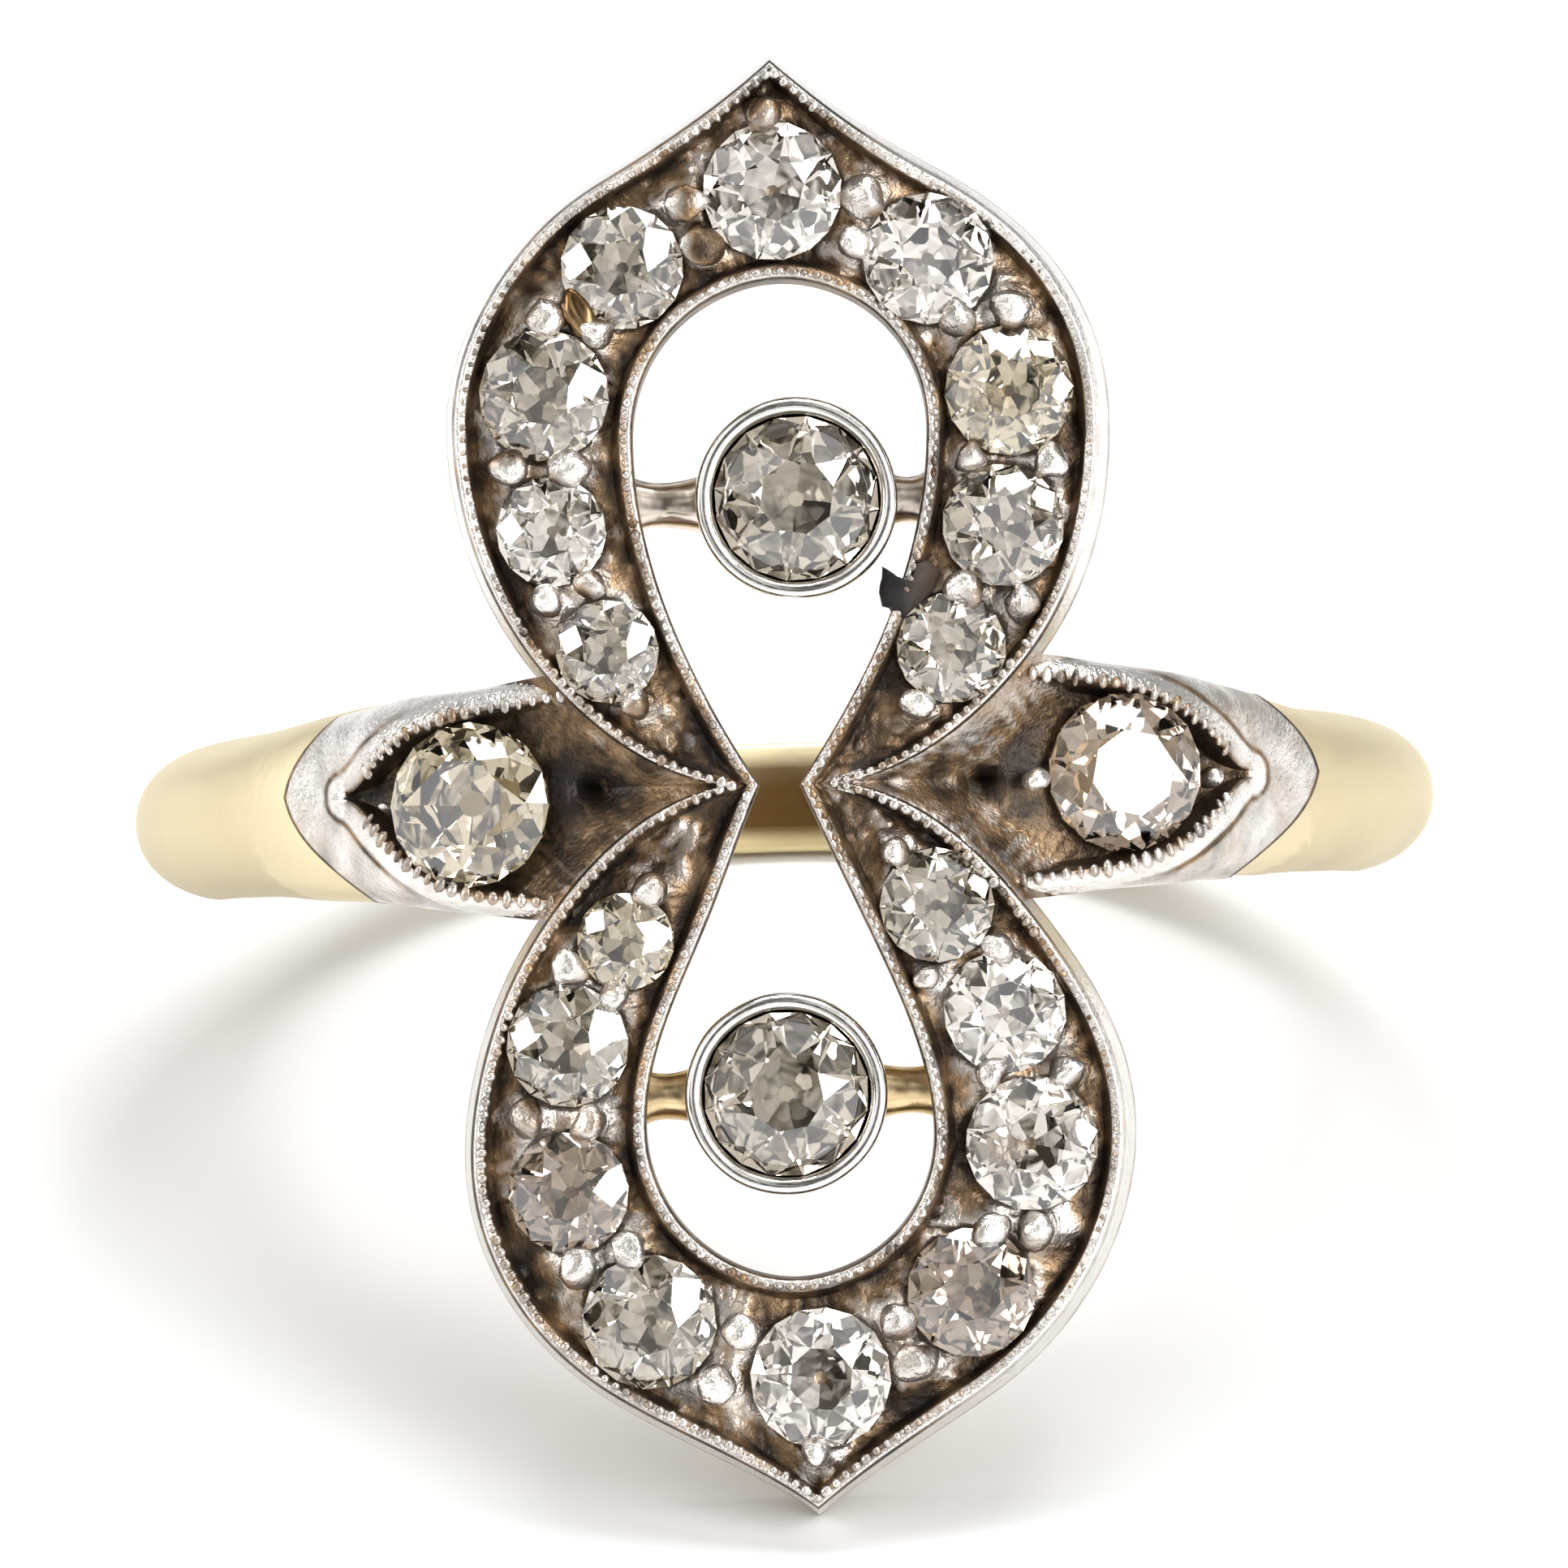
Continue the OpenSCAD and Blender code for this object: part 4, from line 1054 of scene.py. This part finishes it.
def gold_band():
    """Shank from one side of the waist round the finger to the other side."""
    stations, m, points = 260, 60, []
    for s in range(stations):
        t = s / (stations - 1)
        about, signed = (360 * t, 360 * t) if t <= 0.5 else (360 - 360 * t, 360 * t - 360)
        sides = band_section(row_at(BAND_ROWS, about))
        # A fixed number of points in each section
        path = np.array(sides + [sides[0]])
        lengths = np.concatenate([[0], np.cumsum(np.linalg.norm(np.diff(path, axis=0), axis=1))])
        at = np.linspace(0, lengths[-1], m + 1)[:-1]
        for y, r in zip(np.interp(at, lengths, path[:, 0]), np.interp(at, lengths, path[:, 1])):
            y += shank_shift(signed)
            first, last = (math.degrees(math.asin(opening_side(side, y) / r)) for side in (1, -1))
            a = math.radians(first + (360 - last - first) * t)
            points.append((r * math.sin(a), y, r * math.cos(a)))
    faces = grid_faces(stations, m, ring=False) + end_caps(stations, m)
    points = np.array(points)
    x, y, z = points.T
    # Painted shade inside the finger hole, across the middle of its width, deepest at the back and
    # beside the head; painted shade darkening the shank towards its lower side; and a little uneven
    # tarnish
    inner = (np.hypot(x, z) < FINGER_R + 0.05) * np.clip((0.72 - np.abs(y - 0.09)) / 0.26, 0, 1)
    back = np.exp(-(x / 3.0) ** 2) * (z < 0)
    below = 0.20 * np.clip((0.75 - y) / 0.9, 0, 1) + 0.16 * np.clip((-0.3 - y) / 0.8, 0, 1) * (z < 6)
    dull = 0.02 + below
    dull += (0.3 + 0.55 * back) * inner + 0.05 * hand_noise(points, 0.9, 9)
    dull += 0.3 * np.clip((z - 6.6) / 1.6, 0, 1) * inner
    return piece("shank_gold", points, faces, GOLD, np.clip(dull, 0, 1), sharp=50)


def gold_bed():
    """Pierced gold under the silver of both loops."""
    n = len(outer_path)
    w = across_w
    section = [
        (0.10, 0.03), (0.13, 0), (w - 0.09, 0), (w - 0.06, 0.03), (w - 0.06, 0.47), (w - 0.09, 0.5),
        (0.13, 0.5), (0.10, 0.47)]
    points = np.zeros((n, len(section), 3))
    for j, (d, z) in enumerate(section):
        xy = outer_path + across * (d * np.ones(n))[:, None]
        points[:, j, :2] = xy
        points[:, j, 2] = arched(xy[:, 0], GOLD_Z + z)
    faces = grid_faces(n, len(section))
    bed = piece("bed_gold", points.reshape(-1, 3), faces, GOLD, np.full(n * len(section), 0.35))
    # Holes drilled square to the head behind the stones
    holes, sides, hole_share, hole_depths = [], 28, 0.26, (0.7, 2.2)
    for x, y, d in LOOP_STONES:
        lean = math.asin(x / ARCH_R)
        out = np.array([math.sin(lean), 0, math.cos(lean)])
        flat = np.array([math.cos(lean), 0, -math.sin(lean)])
        start = np.array([x, y, arched(x, TOP_Z)])
        tube = []
        for depth in hole_depths:
            for k in range(sides):
                a = 2 * math.pi * k / sides
                beside = flat * math.cos(a) + np.array([0, 1, 0]) * math.sin(a)
                tube.append(start - out * depth + hole_share * d * beside)
        faces = grid_faces(2, sides, ring=False) + end_caps(2, sides)
        holes.append(piece("hole", tube, faces, GOLD, np.full(2 * sides, 0.9)))
    drills = joined("drills", holes)
    cut = bed.modifiers.new("cut", "BOOLEAN")
    cut.object, cut.operation, cut.solver = drills, "DIFFERENCE", "EXACT"
    bpy.context.view_layer.update()
    mesh = evaluated(bed)
    bed.modifiers.remove(cut)
    bed.data = mesh
    mesh.set_sharp_from_angle(angle=math.radians(35))
    bpy.data.objects.remove(drills)
    return bed


def collet_bars(at):
    """The two bars that carry a collet between the sides of its loop."""
    made = []
    for side in (-1, 1):
        x0, x1 = at[0] + side * (COLLET_R - 0.2), side * (UPPER_INNER[2][0] + 0.12)
        points, sides, count, roundness = [], 28, 25, 0.9
        for k in range(count):
            t = k / (count - 1)
            x = x0 + (x1 - x0) * t
            wide = 0.29 + 0.14 * (1 - t) ** 3 + 0.20 * t ** 4
            tall = 0.28 + 0.02 * (1 - t) ** 2
            for j in range(sides):
                g = 2 * math.pi * j / sides
                y = wide * math.copysign(abs(math.cos(g)) ** roundness, math.cos(g))
                z = tall * math.copysign(abs(math.sin(g)) ** roundness, math.sin(g))
                points.append((x, at[1] + y, BAR_Z + z))
        points = np.array(points)
        points += 0.030 * np.stack([hand_noise(points, 2.4, s) for s in (11, 12, 13)], axis=1)
        faces = grid_faces(count, sides, ring=False) + end_caps(count, sides)
        dull = np.clip(0.02 + 0.40 * hand_noise(points, 2.2, 14), 0, 1)
        made.append(piece("bar", points, faces, ROSY_BARS if at[1] > 0 else YELLOW_BARS, dull))
    return made


def collet_base(at):
    """Gold ring under a collet, which the bars carry."""
    inner, outer, low, high = 0.82, COLLET_R - 0.06, GOLD_Z + 0.05, SILVER_Z + 0.19
    base = [(inner, low), (outer - 0.03, low), (outer, low + 0.03), (outer, high - 0.02),
            (outer - 0.02, high), (inner, high)]
    return turned("base", [(r, z, 0.5) for r, z in base], at, GOLD, sides=72)


def collet(name, at, seed):
    """Polished collet, a tube whose lip is rubbed over the stone's edge."""
    low, top, outer, inner = SILVER_Z + 0.22, COLLET_TOP, COLLET_R, COLLET_R - COLLET_WALL
    # Third column: the dark inner edge under the lip and the darkening down the outer wall are painted
    # reflections
    profile = [
        (inner - 0.25, low, 0.8), (outer - 0.08, low, 0.5), (outer - 0.045, low + 0.25, 0.3),
        (outer - 0.01, top - 0.38, 0.15), (outer, top - 0.24, 0.1), (outer - 0.004, top - 0.14, 0.05),
        (outer - 0.022, top - 0.06, 0.0), (outer - 0.06, top - 0.015, 0.0), (outer - 0.10, top, 0.0),
        (inner + 0.08, top - 0.004, 0.0), (inner + 0.035, top - 0.03, 0.1),
        (inner + 0.01, top - 0.075, 0.5), (inner, top - 0.14, 0.9), (inner, top - 0.34, 0.95),
        (inner - 0.25, top - 0.6, 0.95)]
    return turned(name, profile, at, POLISHED, sides=128, wear=0.012, seed=seed)


def rim_damage():
    """Dark crust where the inner rim of the upper loop is broken, ragged towards the opening."""
    edge = np.array([
        (1.46, 3.03), (1.66, 2.88), (1.79, 2.83), (1.85, 2.82), (1.90, 2.94), (1.97, 3.06),
        (2.09, 3.08), (2.22, 2.99), (2.29, 2.84), (2.28, 2.72), (2.20, 2.66), (2.08, 2.57),
        (1.90, 2.46), (1.75, 2.28), (1.69, 2.30), (1.58, 2.37), (1.54, 2.44), (1.43, 2.48),
        (1.39, 2.65), (1.42, 2.76), (1.45, 2.86)])
    middle = np.array([1.82, 2.68])
    between = np.array([[0], [0.35], [0.7]])
    ring = np.concatenate([a + (b - a) * between for a, b in zip(edge, np.roll(edge, -1, axis=0))])
    points = []
    # Top of the crust from its middle out, over the rim and down into the channel, and its underside
    for share in (0.05, 0.25, 0.45, 0.65, 0.82, 0.93, 0.985, 1.0):
        xy = middle + (ring - middle) * share
        past_rim = (xy[:, 0] - 1.72) * 0.9 - (xy[:, 1] - 2.65) * 0.44
        fall = 0.36 * np.clip((past_rim - 0.18) / 0.26, 0, 1) + 0.10 * np.clip(-past_rim / 0.3, 0, 1)
        points.append(np.column_stack([xy, 0.035 - fall - 0.12 * share ** 14]))
    for share, z in ((0.97, -0.36), (0.90, -0.56), (0.5, -0.62), (0.05, -0.62)):
        points.append(np.column_stack([middle + (ring - middle) * share, np.full(len(ring), z)]))
    points = np.concatenate(points)
    points += np.stack([0.035 * hand_noise(points, 5.5, s) for s in (17, 18, 19)], axis=1)
    brown = np.clip((points[:, 0] - 1.70) / 0.35, 0, 1)
    points[:, 2] = arched(points[:, 0], TOP_Z + points[:, 2])
    n, m = len(points) // len(ring), len(ring)
    faces = grid_faces(n, m, ring=False) + end_caps(n, m)
    return piece("rim_damage", points, faces, DIRT, brown, sharp=30)


def bared_patch():
    """Long flattened grain of the upper loop, worn through to its yellow solder."""
    bm = bmesh.new()
    bmesh.ops.create_icosphere(bm, subdivisions=4, radius=1.0)
    ball = np.array([v.co for v in bm.verts])
    faces = [tuple(v.index for v in f.verts) for f in bm.faces]
    bm.free()
    ball *= (1 + 0.12 * hand_noise(ball, 1.6, 51))[:, None]
    half_w, half_l, half_h = 0.20, 0.42, 0.16
    middle = np.array([-2.70, 6.66, 0])
    across_it, along_it = np.array([0.91, 0.42, 0]), np.array([0.42, -0.91, 0])
    points = middle + ball[:, [0]] * half_w * across_it + ball[:, [1]] * half_l * along_it
    points[:, 2] = arched(points[:, 0], TOP_Z - 0.13 + half_h * ball[:, 2])
    dull = 0.75 + 0.35 * hand_noise(points, 2.7, 52)
    return piece("bared_patch", points, faces, YELLOW_BARS, dull, sharp=60)


# The ring

MILGRAIN = milgrain_tree()
GRAIN = grain_tree()

silver = joined("head_silver", [loops_silver(), shoulder_silver(-1), shoulder_silver(1)])
fitted(silver, "silver", "silver_head")
fine_beads = {"Pitch": 0.18, "Along": 0.15, "Across": 0.15, "Height": 0.10, "Unevenness": 0.25}
fitted(loop_milgrain("outer_milgrain", 0.72, -0.03, fine_beads, 3), "silver")
finer_beads = {**fine_beads, "Pitch": 0.17, "Across": 0.13}
fitted(loop_milgrain("inner_milgrain", -0.56, -0.03, finer_beads, 4), "silver")
fitted(shoulder_milgrain(-1), "silver")
fitted(shoulder_milgrain(1), "silver")
fitted(setting_grains(), "silver")
bed_parts = [gold_bed()]
for at in COLLETS.values():
    bed_parts += collet_bars(at) + [collet_base(at)]
fitted(gold_band(), "gold", "gold_shank")
fitted(joined("bed_and_bars_gold", bed_parts), "gold")
for name, at in COLLETS.items():
    setting = collet(name + "_setting", at, 20 if name == "upper" else 21)
    fitted(setting, "collet_silver", name + "_collet")
fitted(rim_damage(), "silver")
fitted(bared_patch(), "gold")

CLEAR = old_cut("stone_clear", (1.0, 0.93, 0.85, 1), 0.3)
GREY = old_cut("stone_grey", (0.62, 0.55, 0.45, 1), 0.4)
YELLOW = old_cut("stone_yellow", (0.70, 0.60, 0.43, 1), 0.4)
BROWN = old_cut("stone_brown", (0.44, 0.34, 0.26, 1), 0.4)
# Stones of each loop clockwise from its tip, then those of the collets and shoulders
upper_tints = [CLEAR, CLEAR, YELLOW, GREY, GREY, GREY, CLEAR, GREY, GREY]
lower_tints = [CLEAR, GREY, BROWN, GREY, YELLOW, GREY, CLEAR, CLEAR, BROWN]
stone_tints = {"upper_collet_stone": GREY, "lower_collet_stone": GREY,
               "left_shoulder_stone": YELLOW, "right_shoulder_stone": BROWN}
for place, tints in (("upper", upper_tints), ("lower", lower_tints)):
    stone_tints.update({f"{place}_stone_{k}": tint for k, tint in enumerate(tints, 1)})
for node, tint in stone_tints.items():
    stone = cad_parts[node]
    stone.data.materials.clear()
    stone.data.materials.append(tint)


# Floor, light and camera

def pale_floor():
    """Plain matt floor."""
    f = Finish("pale_floor")
    tone = f.mix(f.noise(60, 2), (0.785, 0.79, 0.795, 1), (0.825, 0.83, 0.835, 1))
    f.set(Base_Color=tone, Roughness=0.8)
    mesh = bpy.data.meshes.new("floor")
    half = 0.6
    corners = [(-half, -half, 0), (half, -half, 0), (half, half, 0), (-half, half, 0)]
    mesh.from_pydata(corners, [], [(0, 1, 2, 3)])
    mesh.materials.append(f.material)
    placed("floor", mesh)


def soft_light(name, where, aim, size, power, colour=(1, 1, 1)):
    """Soft oblong light, turned to what it aims at."""
    data = bpy.data.lights.new(name, "AREA")
    data.shape, data.size, data.size_y, data.energy, data.color = "RECTANGLE", *size, power, colour
    o = placed(name, data)
    o.location = where
    o.rotation_euler = (Vector(aim) - Vector(where)).to_track_quat("-Z", "Y").to_euler()


def shade_ramp(tree, first, last, middle):
    """Colour ramp from its first to its last stop, with the stops in the middle."""
    n = tree.nodes.new("ShaderNodeValToRGB")
    stops = n.color_ramp.elements
    for stop, (spot, colour) in zip((stops[0], stops[1]), (first, last)):
        stop.position, stop.color = spot, colour
    for spot, colour in middle:
        stops.new(spot).color = colour
    return n


def studio():
    """White tent of uneven panels with a dark gap round the camera, and four soft lights."""
    world = bpy.data.worlds.new("studio")
    bpy.context.scene.world = world
    world.use_nodes = True
    tree = world.node_tree
    way = tree.nodes.new("ShaderNodeTexCoord")
    facing = tree.nodes.new("ShaderNodeVectorMath")
    facing.operation = "DOT_PRODUCT"
    facing.inputs[1].default_value = (0, -math.cos(REST_TILT), math.sin(REST_TILT))
    greys = ((0.35, 0.85), (0.80, 0.95), (0.94, 0.90), (0.975, 0.60), (0.992, 0.15))
    tent = shade_ramp(tree, (0.0, (0.62, 0.64, 0.68, 1)), (1.0, (0.07, 0.065, 0.06, 1)),
                      [(spot, (grey, grey, grey * 1.01, 1)) for spot, grey in greys])
    panels = tree.nodes.new("ShaderNodeTexNoise")
    panels.inputs["Scale"].default_value, panels.inputs["Detail"].default_value = 3.0, 1.0
    shade = shade_ramp(tree, (0.40, (0.045, 0.04, 0.03, 1)), (0.58, (1, 1, 1, 1)),
                       [(0.47, (0.42, 0.40, 0.35, 1))])
    both = tree.nodes.new("ShaderNodeMix")
    both.data_type, both.blend_type = "RGBA", "MULTIPLY"
    both.inputs["Factor"].default_value = 1.0
    tree.links.new(way.outputs["Generated"], facing.inputs[0])
    tree.links.new(way.outputs["Generated"], panels.inputs["Vector"])
    tree.links.new(facing.outputs["Value"], tent.inputs[0])
    tree.links.new(panels.outputs["Fac"], shade.inputs[0])
    tree.links.new(tent.outputs[0], both.inputs[MIX_FIRST])
    tree.links.new(shade.outputs[0], both.inputs[MIX_SECOND])
    tree.links.new(both.outputs[MIX_RESULT], tree.nodes["Background"].inputs["Color"])
    tree.nodes["Background"].inputs["Strength"].default_value = 1.35
    middle = (0, 0, 0.009)
    soft_light("overhead", (0.02, 0.10, 0.30), middle, (0.24, 0.16), 0.75)
    soft_light("right_window", (0.20, -0.17, 0.19), middle, (0.14, 0.16), 0.40, (0.98, 0.99, 1.0))
    soft_light("front_window", (0.193, -0.256, 0.116), middle, (0.10, 0.10), 0.26)
    soft_light("left_side", (-0.29, -0.05, 0.12), middle, (0.06, 0.20), 0.30, (1.0, 0.98, 0.95))


# The photograph's frame in pixels, its focal length in those pixels, and the sensor in mm
PHOTO_SIDE, FOCAL_PIXELS, SENSOR = 1932, 11396, 36
CAMERA_DISTANCE, CAMERA_BELOW, CAMERA_ROLL = 0.1295, math.radians(0.9), math.radians(-1.5)


def photo_camera():
    """Camera a little under the square view of the head, at the photograph's distance."""
    sin, cos = math.sin(REST_TILT), math.cos(REST_TILT)
    up, out = Vector((0, sin, cos)), Vector((0, -cos, sin))
    waist = Vector(laid_down([0, 0, TOP_Z])[0])
    where = waist + (out * math.cos(CAMERA_BELOW) - up * math.sin(CAMERA_BELOW)) * CAMERA_DISTANCE
    z = (where - waist).normalized()
    x = up.cross(z).normalized()
    y = z.cross(x)
    data = bpy.data.cameras.new("camera")
    data.sensor_width, data.lens = SENSOR, FOCAL_PIXELS / PHOTO_SIDE * SENSOR
    data.clip_start, data.clip_end = 0.01, 5
    o = placed("camera", data)
    o.matrix_world = (Matrix.Translation(where) @ Matrix((x, y, z)).transposed().to_4x4()
                      @ Matrix.Rotation(CAMERA_ROLL, 4, "Z"))
    bpy.context.scene.camera = o
    bpy.context.scene.view_settings.view_transform = "Standard"


pale_floor()
studio()
photo_camera()
